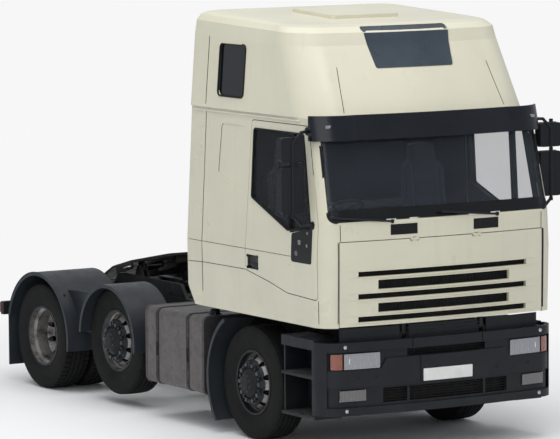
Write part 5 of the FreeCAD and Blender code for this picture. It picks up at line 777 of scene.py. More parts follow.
kit = Kit()
for y in (1.008, 1.572):
    for x in (-1.236, -1.246):
        kit.tube([row(x, y, 0.62), row(x, y, 0.735)], 0.0035)
    for z in (0.615, 0.665, 0.715):
        kit.bolt(row(-1.2445, y, z), (-1, 0, 0), 0.0095, 0.008)
    kit.block(-1.246, -1.2445, y - 0.021, y + 0.021, 0.600, 0.735, 0.0006, 1)
kit.piece("strap_buckles", "chassis", dark_hub, "chassis_black")

# Battery box and silencer on the other side: a moulded box with a lid, two latches and ribbed panels,
# and a round steel drum with pressed rings and its outlet pipe.
charcoal = plastic("charcoal_moulding", (0.0075, 0.0090, 0.0120), 0.46, 0.035, 420.0, 0.05)
bright_steel = metal("worn_steel", (0.55, 0.55, 0.54), 0.3, 1.0, stain=0.35, grime=(0.14, 0.11, 0.08))
kit = Kit()
kit.block(0.62, 1.2035, 0.712, 1.273, 0.952, 0.962, 0.003)
for y in (0.84, 1.14):
    kit.block(1.200, 1.212, y - 0.018, y + 0.018, 0.915, 0.985, 0.004)
    kit.tube([row(1.213, y - 0.012, 0.925), row(1.216, y, 0.918), row(1.213, y + 0.012, 0.925)], 0.003)
for y in (0.80, 0.99, 1.18):
    kit.block(1.1995, 1.2025, y - 0.060, y + 0.060, 0.45, 0.88, 0.002, 1)
kit.piece("battery_box_trim", "chassis", charcoal, "chassis_black")
SILENCER_X, SILENCER_Z, SILENCER_R = 0.860, 0.700, 0.2905
kit = Kit()
for y in (1.306, 1.340, 1.575, 1.810, 1.844):
    kit.tube([row(SILENCER_X + SILENCER_R * math.cos(a), y, SILENCER_Z + SILENCER_R * math.sin(a))
              for a in steps(0, 2 * math.pi, 48)[:-1]], 0.0045, True)
kit.turned([(0.0, 0.058), (0.060, 0.056), (0.061, 0.050), (0.005, 0.049)], row(SILENCER_X, 1.850, 0.560),
           (0, 1, 0), 28)
kit.piece("silencer_rings", "chassis", bright_steel, "chassis_black")

# Wheel guards: grey plastic mouldings over the wheels, with rolled edges over the drive wheels.
# Bolts fix them to their stays, and ribbed flaps hang at the rear.
guard_grey = plastic("guard_moulding", (0.020, 0.025, 0.031), 0.40, 0.14, 420.0, 0.06)
finish(guard_grey, "rear_guards", "front_guards")
GUARD_R = 0.636
guard_y, guard_z = AXLES["drive"]
kit, bolts = Kit(), []
for side in both:
    kit.tube([row(side * 1.2465, guard_y + GUARD_R * math.cos(a), guard_z + GUARD_R * math.sin(a))
              for a in map(math.radians, steps(14, 188, 40))], 0.0050)
    for a in map(math.radians, (45, 135)):
        c, s = math.cos(a), math.sin(a)
        bolts += [(row(side * x, guard_y + GUARD_R * c, guard_z + GUARD_R * s), (0, c, s))
                  for x in (0.70, 0.95, 1.18)]
    for x in steps(0.64, 1.20, 8):
        kit.tube([row(side * x, 4.5755, 0.24), row(side * x, 4.5755, 0.62)], 0.0035)
kit.piece("guard_edges", "chassis", guard_grey, "guard_plastic")
repeated("guard_bolts", hex_unit(0.011, 0.009), bolts, "chassis", dark_hub)

# Coupling: a cast plate, black with grease, tipped down at its rear on a pin across the sub-frame.
# Grease grooves are cut in its face, the release handle comes out at the side, and bolts hold the base.
grease_black = metal("greased_steel", (0.022, 0.020, 0.018), 0.42, 0.5, stain=0.5,
                     grime=(0.010, 0.009, 0.008))
black_rubber = plastic("rubber_seal", (0.006, 0.006, 0.007), 0.6, 0.05, 700.0, 0.03)
finish(grease_black, "fifth_wheel")
TIP = math.radians(-14.0)
PLATE_UP = Vector((0, -math.sin(TIP), math.cos(TIP)))
PIVOT_Y, PIVOT_Z, PLATE_TOP = 3.450, 1.178, 0.098


def on_plate(x, along, up):
    """A point on the tipped coupling plate, along it and above its top face."""
    high = PLATE_TOP + up
    return row(x, PIVOT_Y + along * math.cos(TIP) - high * math.sin(TIP),
               PIVOT_Z + along * math.sin(TIP) + high * math.cos(TIP))


kit = Kit()
for side in both:
    for x0, y0, x1, y1 in ((0.16, -0.10, 0.36, -0.02), (0.16, 0.10, 0.38, 0.06), (0.16, 0.28, 0.38, 0.20),
                           (0.06, -0.20, 0.14, -0.28)):
        kit.tube([on_plate(side * x0, y0, 0.0004), on_plate(side * x1, y1, 0.0004)], 0.0050,
                 flat_to=(PLATE_UP, 0.35))
kit.tube([on_plate(0.105 * math.cos(a), 0.105 * math.sin(a), 0.0004) for a in
          map(math.radians, steps(-200, 20, 24))], 0.0055, flat_to=(PLATE_UP, 0.35))
kit.piece("coupling_grooves", "fifth_wheel", black_rubber, "chassis_black")
kit = Kit()
for points, r in ((((-0.10, 0.02), (-0.40, 0.02), (-0.452, 0.02)), 0.009),
                  (((-0.452, 0.02), (-0.470, 0.03), (-0.470, 0.12), (-0.452, 0.135)), 0.008)):
    kit.tube([on_plate(x, along, -0.060) for x, along in points], r, sides=10)
kit.piece("coupling_handle", "fifth_wheel", bright_steel, "chassis_black")
bolts = [(row(side * x, y, 1.0000), UP) for side in both for x in (0.24, 0.29, 0.372) for y in (3.33, 3.57)]
repeated("coupling_base_bolts", hex_unit(0.014, 0.012), bolts, "chassis", bright_steel)


# Deck and junction box: raised-pattern metal sheet between the rails behind the cab,
# and a pale plastic box with a lid that stands on the sub-frame beside the coupling.
def tread_plate(name, base):
    """Raised-pattern sheet: short crossing bars on a dull plate."""
    shade = Shade(name, Roughness=0.55, Metallic=0.85)
    one = shade.waves(22.0, "DIAGONAL")
    two = shade.waves(22.0, "DIAGONAL", shade.stretched((-1.0, 1.0, 1.0)))
    bars = shade.span(shade.math("MAXIMUM", one, two), 0.7, 0.9)
    colour = shade.mix(bars, flat(base, 0.6), flat(base, 1.3))
    shade.colour(shade.mix(shade.cloud(5.0, 6.0, 0.7, 0.45, 0.7, 0.0, 0.6), colour, (0.05, 0.045, 0.04)))
    shade.bump(bars, 0.8, 0.003)
    return shade.mat


deck_plate = tread_plate("deck_plate", (0.20, 0.20, 0.20))
plate_white = plastic("plate_white", (0.70, 0.70, 0.68), 0.35, 0.1, 900.0, 0.2)
finish(deck_plate, "deck")
kit = Kit()
kit.block(-0.440, -0.384, 3.690, 3.780, 1.1205, 1.200, 0.010, 3)
kit.block(-0.444, -0.380, 3.686, 3.784, 1.190, 1.2035, 0.006)
kit.piece("junction_box", "chassis", plate_white, "guard_plastic")


# Rear lamps: moulded boxes on the rear bar, each with red, amber and clear fluted sections.
# The sections are thin plates laid on the box's rear face.
def lens(name, base, lines, direction="X"):
    """Moulded lamp glass with its optical flutes."""
    shade = Shade(name, Roughness=0.12, Coat_Weight=0.6, Coat_Roughness=0.05, Transmission_Weight=0.25)
    flutes = shade.waves(lines, direction)
    colour = shade.mix(flutes, flat(base, 0.55), flat(base, 1.2))
    shade.colour(shade.mix(shade.span(shade.cells(34.0), 0.1, 0.55), colour, flat(base, 0.8)))
    shade.bump(flutes, 0.6, 0.003)
    return shade.mat


def spread(points, gap, closed=True):
    """The outline again with a point at least every gap."""
    pairs = zip(points, points[1:] + points[:1] if closed else points[1:])
    out = []
    for a, b in pairs:
        a, b = Vector(a), Vector(b)
        n = max(1, int((b - a).length / gap + 0.999))
        out.extend(a.lerp(b, k / n) for k in range(n))
    if not closed:
        out.append(Vector(points[-1]))
    return out


def surface_tree(mesh):
    return BVHTree.FromPolygons([v.co for v in mesh.vertices], [tuple(p.vertices) for p in mesh.polygons])


class Skin:
    """CAD surfaces that trim is laid on, seen from the front, a side or the rear."""

    FROM = {"front": (0, -1, 0), "left": (1, 0, 0), "right": (-1, 0, 0), "rear": (0, 1, 0)}
    REACH = 9.0

    def __init__(self, *nodes):
        self.trees = [surface_tree(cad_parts[name].data) for name in nodes]

    def lay(self, a, b, view, lift=0.0):
        """The surface point under (a, b): x, z from the front or rear; y, z from a side."""
        out = Vector(self.FROM[view])
        start = Vector((a, 0, b)) if view in ("front", "rear") else row(0, a, b)
        best = None
        for tree in self.trees:
            hit, normal, index, distance = tree.ray_cast(start + out * self.REACH, -out)
            if hit is not None and (best is None or distance < best[1]):
                best = (hit, distance)
        return best[0] + out * lift if best else None

    def level(self, a, b, view, near):
        """The point at (a, b) that lies as deep as a near one, over a gap in the surface."""
        return Vector((a, near.y, b)) if view in ("front", "rear") else Vector((near.x, a + AXLE_Y, b))

    def line(self, points, view, lift=0.0, gap=0.04, closed=True):
        found = [self.lay(p[0], p[1], view, lift) for p in spread(points, gap, closed)]
        return [p for p in found if p is not None]


lamp_red = lens("red_flutes", (0.42, 0.02, 0.02), 24.0)
lamp_amber = lens("amber_flutes", (0.36, 0.095, 0.05), 30.0, "Z")
lamp_clear = lens("lamp_flutes", (0.40, 0.41, 0.44), 16.0)
finish(lamp_red, "rear_lamps")
red_kit, amber_kit, clear_kit = Kit(), Kit(), Kit()
rear_skin = Skin("rear_lamps")
low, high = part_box("rear_lamps")
middle = (low[2] + high[2]) / 2
for side in both:
    for kit, x0, x1 in ((amber_kit, 1.105, 1.205), (red_kit, 0.985, 1.095), (clear_kit, 0.925, 0.975),
                        (red_kit, 0.865, 0.915)):
        kit.patch(oblong(x0, x1, middle - 0.043, middle + 0.043, 0.008, 3, side), "rear", rear_skin, 0.005,
                  0.005, 0.05)
red_kit.piece("rear_lamp_red", "chassis", lamp_red, "lamp_lens")
amber_kit.piece("rear_lamp_amber", "chassis", lamp_amber, "lamp_lens")
clear_kit.piece("rear_lamp_clear", "chassis", lamp_clear, "lamp_lens")

# Bumper: one deep charcoal moulding, bowed forward in the middle, with meshed intakes behind its openings and
# a dark plate of painted shade behind each mesh.
# It carries the blank plate, rubber bezels round the lamps, steel caps on the towing eyes, louvres in the
# valance and anti-slip ribs on its top ledge.
finish(charcoal, "bumper", "steps", "mirror_left", "mirror_right", "wipers")
bumper_skin = Skin("bumper")
ALONG_Y = Vector((0, 1, 0))


def bow(x, z, back=0.0):
    """A point on the bumper's curved front line, or behind it by back."""
    return row(x, -1.480 + 0.066 * (x / 1.04) ** 2 + back, z)


plate_line = oblong(-0.262, 0.262, 0.642, 0.752, 0.006, 2)
kit = Kit().patch(plate_line, "front", bumper_skin, 0.0010, 0.0008, 0.09)
kit.piece("number_plate", "chassis", plate_white, "guard_plastic")
kit = Kit()
kit.bead(bumper_skin, oblong(-0.268, 0.268, 0.637, 0.757, 0.008, 2), "front", -0.003, 0.05, 0.005, 6, True)
for x in (-0.918, -0.735, 0.537, 0.902):
    kit.patch(oblong(x - 0.014, x + 0.014, 0.697, 0.725), "front", bumper_skin, 0.0008, 0.0006, 0.1)
for side in both:
    for box in ((0.694, 1.164, 0.787, 0.936), (0.834, 1.094, 0.503, 0.609)):
        kit.bead(bumper_skin, oblong(*box, 0.010, 2, side), "front", -0.001, 0.04, 0.0055, 6, True)
kit.piece("bumper_bezels", "chassis", black_rubber, "guard_plastic")

caps = Kit()
for side in both:
    for x, z in ((1.045, 0.993), (1.032, 0.424)):
        at = bumper_skin.lay(side * x, z, "front")
        caps.turned([(-0.004, 0.017), (0.003, 0.017), (0.006, 0.013), (0.0065, 0.0001)], at, (0, -1, 0), 20)
caps.outward().piece("bumper_caps", "chassis", bright_steel, "wheel_steel")

# Each intake gets a dark plate behind its mesh: painted shade inside the opening. The bars in front of it are
# the real mesh.
kit = Kit()
for half, z0, z1, back in ((0.668, 0.470, 0.616, 0.040), (0.420, 0.868, 0.946, 0.046)):
    across = steps(-half, half, 24)
    kit.faces([[bow(x, z, back + 0.030 + y) for y, z in ((0, z0), (0, z1), (0.004, z1), (0.004, z0))]
               for x in across])
    for z in steps(z0, z1, int((z1 - z0) / 0.024))[1:-1]:
        kit.tube([bow(x, z, back) for x in across], 0.0042, flat_to=(ALONG_Y, 2.0))
    for k in range(1, int(2 * half / 0.085)):
        x = 0.085 * k - half
        kit.tube([bow(x, z0, back + 0.004), bow(x, z1, back + 0.004)], 0.0035)
kit.piece("intake_mesh", "chassis", black_rubber, "guard_plastic")

kit = Kit()
for k in range(3):
    for x0, x1 in ((-0.385, -0.010), (0.010, 0.385)):
        path = [bow(x, 1.062 + 0.028 * k, 0.0685) for x in steps(x0, x1, 8)]
        kit.tube(path, 0.0060, flat_to=(ALONG_Y, 0.7))
for side in both:
    kit.patch(oblong(0.42, 1.00, 1.052, 1.058, side=side), "front", bumper_skin, 0.003, 0.003, 0.08)
kit.piece("valance_louvres", "chassis", charcoal, "guard_plastic")

kit = Kit()
for x0, x1 in ((-1.02, -0.385), (-0.360, 0.360), (0.385, 1.02)):
    for x in steps(x0, x1, int((x1 - x0) / 0.024)):
        kit.slab(bow(x, 1.0295, 0.014) - Vector((0.004, 0, 0)), bow(x, 1.0335, 0.052) + Vector((0.004, 0, 0)),
                 0.0012, 1)
kit.piece("bumper_tread_ribs", "chassis", charcoal, "guard_plastic")

# Front lamps: bright pressed reflectors in dark housings, under fluted glass with divider bars.
# Head lamp and turn lamp share the upper opening of the bumper, and the fog lamp has the lower one.
chrome = metal("bright_reflector", (0.85, 0.86, 0.88), 0.08, 1.0, stain=0.05)
fog_lens = lens("fog_flutes", (0.17, 0.16, 0.155), 20.0)
finish(chrome, "front_lamps")
second_look("front_lamps", black_rubber, lambda face: face.normal.y >= -0.8)
HEAD, TURN = (0.698, 1.050, 0.792, 0.930), (1.066, 1.160, 0.792, 0.930)
FOG = (0.838, 1.090, 0.508, 0.604)
# The bowl's rings, as heights over the housing and shares of the outer radius.
BOWL_R = 0.058
BOWL = ((0.0, 1.0), (0.0016, 0.97), (0.0010, 0.80), (0.0016, 0.62), (0.0010, 0.42), (0.0030, 0.26))
lamp_skin = Skin("front_lamps")
covers, ambers, fog_glass, bowls, dark = Kit(), Kit(), Kit(), Kit(), Kit()
for side in both:
    for kit, box in ((covers, HEAD), (ambers, TURN), (fog_glass, FOG)):
        kit.patch(oblong(*box, 0.010, 3, side), "front", lamp_skin, 0.008, 0.0025, 0.04)
    for x in (0.785, 0.945):
        at = lamp_skin.lay(side * x, 0.862, "front", 0.0006)
        rings = [(high, BOWL_R * share) for high, share in BOWL] + [(0.0036, 0.0001)]
        bowls.turned(rings, at, (0, -1, 0), 28)
    for x, z0, z1, size in ((0.866, 0.797, 0.925, 0.0045), (0.965, 0.513, 0.599, 0.0035)):
        dark.bead(lamp_skin, [(side * x, z0), (side * x, z1)], "front", 0.002, 0.03, size)
covers.piece("headlamp_covers", "chassis", lamp_clear, "lamp_lens")
ambers.piece("indicator_covers", "chassis", lamp_amber, "lamp_lens")
fog_glass.piece("fog_lamp_covers", "chassis", fog_lens, "lamp_lens")
bowls.outward().piece("lamp_bowls", "chassis", chrome, "lamp_lens")
dark.piece("lamp_dividers", "chassis", black_rubber, "guard_plastic")

# Steps: two wells behind the bumper's ends, each floor covered by a worn steel plate.
# Rows of small punched teeth on the plates grip the driver's boots.
worn_tread = metal("worn_tread", (0.10, 0.10, 0.10), 0.4, 0.8, stain=0.8, grime=(0.018, 0.016, 0.014))
plates, teeth = Kit(), []
for side in both:
    for z in (0.356, 0.716):
        plates.block(side * 0.960, side * 1.214, -1.150, -0.650, z, z + 0.003, 0.001, 1)
        teeth += [(row(side * (0.975 + 0.0225 * k), -1.135 + 0.029 * j, z + 0.003), (0, 0, 1))
                  for k in range(11) for j in range(17)]
plates.piece("step_plates", "chassis", worn_tread, "wheel_steel")
tooth = Kit().turned([(0.0, 0.0075), (0.0045, 0.0060), (0.0045, 0.0030), (0.0020, 0.0001)], (0, 0, 0),
                     (0, 0, 1), 6)
repeated("step_teeth", tooth, teeth, "chassis", worn_tread)


# Cab shell: cream painted steel panels under a moulded roof, trimmed with grey plastic on the inside and
# with chassis paint on the lower members. Seams between the pressings are drawn as fine dark beads that
# sit just under the surface, and a drip rail runs along each side.
def paint(name, base, roughness=0.3, film=0.35, orange=0.12):
    """Weathered paint: a slow change of shade, run-down streaks, road film and a fine orange skin."""
    shade = Shade(name, Roughness=roughness, Coat_Weight=0.35, Coat_Roughness=0.12, Specular_IOR_Level=0.5)
    colour = shade.mix(shade.cloud(1.3, 4.0), flat(base, 0.965), flat(base, 1.03))
    streak = shade.noise(1.0, 5.0, 0.6, shade.stretched((9.0, 9.0, 0.8)))
    colour = shade.mix(shade.span(streak, 0.56, 0.8, 0.0, 0.22), colour, flat(base, 0.72))
    dirt = shade.effect(road_film, Place=shade.place, Top=1.9, Bottom=0.4,
                        Patch=shade.cloud(3.0, 6.0, 0.65, 0.35), Amount=film)
    shade.colour(shade.mix(dirt, colour, DUST))
    shade.rough(shade.cloud(2.2, 5.0, out_low=roughness * 0.8, out_high=roughness * 1.35))
    shade.bump(shade.noise(240.0, 2.0), orange, 0.0006)
    return shade.mat


CREAM = (0.645, 0.618, 0.485)
cream = paint("cream_paint", CREAM)
roof_cream = paint("roof_moulding", flat(CREAM, 1.04), 0.42, 0.2, 0.06)
inner_trim = plastic("cab_trim", (0.035, 0.038, 0.044), 0.7, 0.05, 300.0, 0.0)
CAB_PANELS = ("cab_front", "cab_side_left", "cab_side_right", "cab_rear", "door_left", "door_right")
finish(cream, *CAB_PANELS, "grille_hatch")
finish(roof_cream, "cab_roof", "roof_hatch")
HEART = row(0, -0.15, 2.3)
for node in CAB_PANELS + ("cab_roof",):
    second_look(node, inner_trim, lambda face: abs(face.center.x) <= 1.262 and face.center.z >= 1.17
                and face.normal.dot((HEART - face.center).normalized()) > 0.35)
second_look("cab_front", chassis, lambda face: face.center.z < 1.158
            or (abs(abs(face.center.x) - 0.42) < 0.07 and face.center.z < 1.46 and face.center.y > -3.09))

# Each seam gives its points, the lift, the gap between laid points and the bead's radius.
SIDE_SEAMS = (([(0.722, 1.30), (0.722, 2.96)], 0.0004, 0.08, 0.0030),
              ([(0.722, 3.02), (0.722, 3.64)], 0.0004, 0.05, 0.0035),
              ([(-1.268, 1.20), (-1.268, 1.40)], 0.0004, 0.05, 0.0030),
              ([(1.03, 1.552), (0.709, 1.568), (-0.05, 1.571)], 0.0004, 0.05, 0.0028))
LONG_SEAM = [(1.030, 1.760), (-0.832, 1.760)]
shell_skin = Skin(*CAB_PANELS, "cab_roof", "grille_hatch")
seams = Kit()
for side, view in SIDES:
    for points, lift, gap, size in SIDE_SEAMS:
        seams.bead(shell_skin, points, view, lift, gap, size)
for side, view in SIDES:
    seams.bead(shell_skin, LONG_SEAM, view, 0.0002, 0.08, 0.0022)
for side in (-1, 1):
    seams.bead(shell_skin, [(side * 1.072, 1.93), (side * 1.075, 2.07)], "front", 0.0004, 0.03, 0.0032)
for side in both:
    seams.bead(shell_skin, [(side * 0.855, 3.03), (side * 0.80, 3.42)], "front", 0.0004, 0.03, 0.0030)
seams.piece("cab_seams", "cab", black_rubber, "cab_paint")

kit = Kit()
cab_skin = Skin(*CAB_PANELS)
for side, view in SIDES:
    rail = cab_skin.line([(-0.90, 2.962), (0.93, 2.962)], view, 0.003, 0.08, False)
    kit.tube(rail, 0.0075, flat_to=(Vector((1, 0, 0)), 1.6))
kit.piece("drip_rails", "cab", roof_cream, "roof_paint")


# Windscreen and roof windows: tinted glass held in black rubber, with a dark band along the screen's foot.
# The roof windows are nearly black.
def clear(name, tint, roughness, alpha):
    """Tinted glass with a thin uneven film."""
    shade = Shade(name, Roughness=roughness, Alpha=alpha, Transmission_Weight=0.0, IOR=1.5)
    shade.colour(shade.mix(shade.cloud(5.0, 5.0, 0.65, 0.35, 0.75), tint, flat(tint, 1.5)))
    shade.rough(shade.cloud(20.0, 5.0, 0.55, 0.3, 0.8, roughness, roughness + 0.06))
    return shade.mat


screen_glass = clear("screen_glass", (0.045, 0.055, 0.07), 0.02, 0.20)
side_glass = clear("side_glass", (0.055, 0.062, 0.068), 0.02, 0.13)
roof_glass = clear("roof_glass", (0.006, 0.007, 0.009), 0.05, 0.95)
finish(screen_glass, "cab_glass")
second_look("cab_glass", roof_glass, lambda face: face.center.z > 3.05)
screen_skin = Skin("cab_front", "cab_glass")
screen_line = rounded([(-1.165, 2.092), (1.165, 2.092), (1.135, 2.915), (-1.135, 2.915)], 0.075, 6)
kit = Kit().bead(screen_skin, screen_line, "front", -0.004, 0.05, 0.013, 8, True)
kit.piece("screen_rubber", "cab", black_rubber, "guard_plastic")

band_line = rounded([(-1.152, 2.102), (1.152, 2.102), (1.140, 2.200), (-1.140, 2.200)], 0.03)
kit = Kit().patch(band_line, "front", Skin("cab_glass"), 0.001, 0.0005, 0.08)
kit.piece("screen_band", "cab", gloss_black, "glazing")

kit = Kit()
glass_roof = Skin("cab_roof", "cab_glass")
for side, view in SIDES:
    kit.bead(glass_roof, oblong(0.070, 0.520, 3.110, 3.585, 0.05), view, 0.001, 0.05, 0.009, 8, True)
kit.piece("roof_window_rubber", "cab", black_rubber, "guard_plastic")

# Grille hatch: a cream painted panel with five slots, hinged along its top edge. The slots have rolled
# lips, and behind them lie a wire mesh and a dark sheet of painted shade. Dark beads of painted shadow fill
# the gaps at the hatch's ends.
hatch_skin = Skin("grille_hatch")
face_skin = Skin("cab_front", "grille_hatch")

# Each slot gives its top edge, its height and half its width.
SLOTS = ((1.650, 0.046, 0.898), (1.568, 0.082, 0.700), (1.452, 0.048, 0.898), (1.362, 0.080, 0.700),
         (1.250, 0.048, 0.898))
MESH_Z = 1.70
lips, shade_box, mesh_kit = Kit(), Kit(), Kit()
for top, tall, half in SLOTS:
    reach = half + (0.105 if half > 0.8 else 0.0)
    for z, size in ((top - tall - 0.007, 0.0075), (top + 0.006, 0.0055)):
        path = [hatch_skin.lay(x, z, "front", 0.001) for x in steps(-reach, reach, 40)]
        path = [p for p in path if p is not None]
        lips.tube(path, lambda t: size * min(1.0, 8 * min(t, 1 - t) + 0.15), sides=8)
for x in steps(-0.86, 0.86, 44):
    at = hatch_skin.lay(x, MESH_Z, "front", -0.036)
    mesh_kit.slab(at + Vector((-0.003, 0.001, -0.515)), at + Vector((0.003, 0.007, -0.040)), 0.001, 1)
for z in steps(1.20, 1.655, 29):
    path = [hatch_skin.lay(x, MESH_Z, "front", -0.040) + Vector((0, 0, z - MESH_Z))
            for x in steps(-0.88, 0.88, 16)]
    mesh_kit.tube(path, 0.0030, sides=4)
lips.piece("hatch_slot_lips", "grille_hatch", cream, "cab_paint")
mesh_kit.piece("hatch_mesh", "grille_hatch", black_rubber, "guard_plastic")
# A dark sheet behind the mesh: painted shade inside the hatch.
shade_line = [hatch_skin.lay(x, MESH_Z, "front", -0.050) for x in steps(-0.93, 0.93, 20)]
panel_edge = [Vector((0, y, z)) for y, z in ((0, -0.525), (0, -0.035), (0.003, -0.035), (0.003, -0.525))]
shade_box.faces([[p + corner for corner in panel_edge] for p in shade_line])
shade_box.piece("hatch_shade", "grille_hatch", black_rubber, "guard_plastic")
# Dark beads in the gaps at the hatch's two ends: painted shadow, wider on the left side.
kit = Kit()
for side, wide in ((1, 0.0075), (-1, 0.0040)):
    path = [face_skin.lay(side * 1.094, z, "front", 0.001) for z in steps(1.20, 1.915, 12)]
    kit.tube([p for p in path if p is not None], wide)
kit.piece("hatch_edge_seals", "cab", black_rubber, "guard_plastic")

# Cowl: the panel under the screen, with two dark slatted air grilles.
# Small pale plastic clips with washer nozzles sit along its upper edge.
kit = Kit()
for side in both:
    for z in steps(1.966, 2.049, 4):
        kit.tube([face_skin.lay(side * x, z, "front", 0.004) for x in (0.306, 0.37, 0.44, 0.51, 0.570)],
                 0.0035)
    kit.patch(oblong(0.300, 0.575, 1.960, 2.054, side=side), "front", face_skin, 0.002, 0.002, 0.1)
kit.piece("cowl_grilles", "cab", black_rubber, "guard_plastic")
kit = Kit()
for x in (-0.575, -0.330, 0.293, 0.543):
    at = cab_skin.lay(x, 2.040, "front") + Vector((0, 0.006, 0.056))
    kit.slab(at + Vector((-0.040, -0.008, -0.006)), at + Vector((0.040, 0.006, 0.008)), 0.003)
    kit.slab(at + Vector((0.048, -0.005, -0.004)), at + Vector((0.060, 0.004, 0.010)), 0.002)
kit.piece("cowl_clips", "cab", plate_white, "cab_paint")

# Roof panel and sun visor: a slate plastic panel let into the roof's brow, and a smoked blade below it.
# A row of screws fixes the blade, and a pale lamp sits near each of its ends.
panel_blue = plastic("slate_panel", (0.044, 0.058, 0.075), 0.3, 0.1, 700.0, 0.0)
visor_smoke = plastic("smoked_blade", (0.008, 0.010, 0.014), 0.16, 0.08, 600.0, 0.0)
finish(visor_smoke, "sun_visor")
panel = rounded([(-0.409, 3.401), (0.409, 3.401), (0.457, 3.759), (-0.457, 3.759)], 0.024, 4)
kit = Kit().patch(panel, "front", Skin("cab_roof"), 0.0045, 0.0040, 0.05)
kit.piece("roof_panel", "cab", panel_blue, "guard_plastic", 30)
visor_skin = Skin("sun_visor")
spots = [visor_skin.lay(-1.08 + 0.24 * k, 2.985, "front") for k in range(10)]
screw = Kit().turned([(-0.002, 0.0085), (0.002, 0.0080), (0.0035, 0.0050), (0.0036, 0.0001)], (0, 0, 0),
                     (0, 0, 1), 12)
repeated("visor_screws", screw, [(at, (0, -1, 0.2)) for at in spots if at is not None], "cab", dark_hub)
kit = Kit()
for side in both:
    at = visor_skin.lay(side * 1.085, 2.925, "front")
    kit.slab(at + Vector((-0.030, -0.007, -0.014)), at + Vector((0.030, 0.012, 0.014)), 0.006, 3)
kit.piece("corner_marker_lamps", "cab", lamp_clear, "lamp_lens")

# Doors: cream panels with a dark seal in the gap, rubber round the window and a bar at the quarter light.
# A glossy plate with pale marks fills the corner below it, and the handle lies in a moulded pocket.
finish(side_glass, "door_glass_left", "door_glass_right")
for node in ("door_left", "door_right"):
    second_look(node, black_rubber, lambda face: abs(face.normal.x) < 0.6 and 1.95 < face.center.z < 2.87
                and -1.17 < face.center.y - AXLE_Y < -0.11)
DOOR_LINE = [(-1.262, 1.404), (-0.763, 1.425), (-0.452, 1.497), (-0.050, 1.570), (-0.050, 1.760),
             (-0.085, 2.925), (-1.055, 2.925), (-1.262, 2.078)]
DOOR_MIDDLE = Vector((-0.60, 2.15))
LIGHT = [(-1.150, 2.030), (-0.812, 1.968), (-0.130, 2.232), (-0.130, 2.850), (-0.975, 2.850)]
CORNER = [(-1.178, 2.040), (-0.834, 1.966), (-0.840, 1.716), (-1.178, 1.716)]
# Marks on the corner panel: y, z, radius and the number of sides.
MARKS = ((-0.969, 1.895, 0.030, 4), (-0.926, 1.796, 0.024, 18), (-1.099, 1.985, 0.014, 18),
         (-1.097, 1.875, 0.014, 18))
for side, word in SIDES:
    body = "door_" + word
    door_skin = Skin(body)
    pane_skin = Skin(body, "door_glass_" + word)
    places = []
    for p in spread(rounded(DOOR_LINE, 0.035, 4), 0.06):
        inner = DOOR_MIDDLE - p
        inset = 0.004 if inner.x > 0 else -0.004
        hit = door_skin.lay(p.x + inner.x * 0.02 + inset, p.y + inner.y * 0.02, word)
        if hit is not None:
            places.append(row(hit.x, p.x, p.y) - Vector((side * 0.016, 0, 0)))
    kit = Kit().tube(places, 0.0032, True)
    kit.piece("door_seal_" + word, body, black_rubber, "guard_plastic")

    kit = Kit().bead(pane_skin, rounded(LIGHT, 0.030, 4), word, 0.001, 0.05, 0.0085, 8, True)
    kit.bead(pane_skin, [(-0.790, 1.985), (-0.790, 2.845)], word, 0.002, 0.08, 0.0135, 8)
    kit.piece("window_rubber_" + word, body, black_rubber, "guard_plastic")

    kit = Kit().patch(rounded(CORNER, 0.030), word, door_skin, 0.003, 0.0028)
    kit.piece("door_corner_panel_" + word, body, gloss_black, "guard_plastic")
    kit = Kit()
    for y, z, r, count in MARKS:
        kit.turned([(0.0, r), (0.0022, r * 0.96), (0.0030, r * 0.70), (0.0016, r * 0.62), (0.0016, 0.0001)],
                   door_skin.lay(y, z, word, 0.003), (side, 0, 0), count)
    kit.outward().piece("door_corner_marks_" + word, body, barrel_grey, "guard_plastic")

    pocket = oblong(-0.270, -0.079, 1.586, 1.710, 0.022, 4)
    kit = Kit().patch(pocket, word, door_skin, 0.0012, 0.0010, 0.04)
    kit.bead(door_skin, pocket, word, 0.001, 0.03, 0.008, 8, True)
    x = door_skin.lay(-0.174, 1.648, word).x - side * 0.002
    kit.block(x - side * 0.010, x + side * 0.006, -0.245, -0.103, 1.602, 1.642, 0.008, 3)
    kit.block(x - side * 0.010, x + side * 0.001, -0.245, -0.103, 1.655, 1.700, 0.004)
    kit.turned([(0.0, 0.012), (0.003, 0.0115), (0.0035, 0.0001)], row(x + side * 0.001, -0.125, 1.680),
               (side, 0, 0), 16)
    kit.piece("door_handle_" + word, body, gloss_black, "guard_plastic")

# Mirrors: charcoal shells on tube arms in front of each door, with silvered glass towards the driver.
# Rubber seams run round the shells, clamps hold them on the tube, and two round feet meet the door.
mirror_face = metal("mirror_glass", (0.8, 0.82, 0.84), 0.03, 1.0, stain=0.03)
MIRROR_Y, GLASS_Y, SEAM_X = -1.105, -1.015, 1.4965
for side, word in SIDES:
    body = "door_" + word
    faces, trim = Kit(), Kit()
    for low, high in ((2.620, 2.840), (2.170, 2.580)):
        outline = oblong(1.292, 1.478, low + 0.022, high - 0.022, 0.020, 4, side)
        faces.prism([row(p.x, GLASS_Y + 0.0005, p.y) for p in outline], (0, 0.002, 0), 0.0008, 1)
        seam = oblong(1.269, 1.501, low - 0.001, high + 0.001, 0.031, 5, side)
        trim.tube([row(max(min(p.x, SEAM_X), -SEAM_X), GLASS_Y - 0.028, p.y) for p in seam], 0.0030, True)
    for z in (2.600, 2.145, 2.860):
        trim.tube([row(side * 1.385, MIRROR_Y, z - 0.016), row(side * 1.385, MIRROR_Y, z + 0.016)], 0.0185,
                  sides=14)
    for z, y in ((2.880, -1.030), (2.060, -1.175)):
        at = Skin(body).lay(y, z, word)
        if at is not None:
            trim.turned([(-0.002, 0.038), (0.006, 0.036), (0.010, 0.022), (0.0105, 0.0001)], at,
                        (side, 0, 0), 24)
    faces.piece("mirror_faces_" + word, body, mirror_face, "glazing")
    trim.piece("mirror_trim_" + word, body, black_rubber, "guard_plastic")


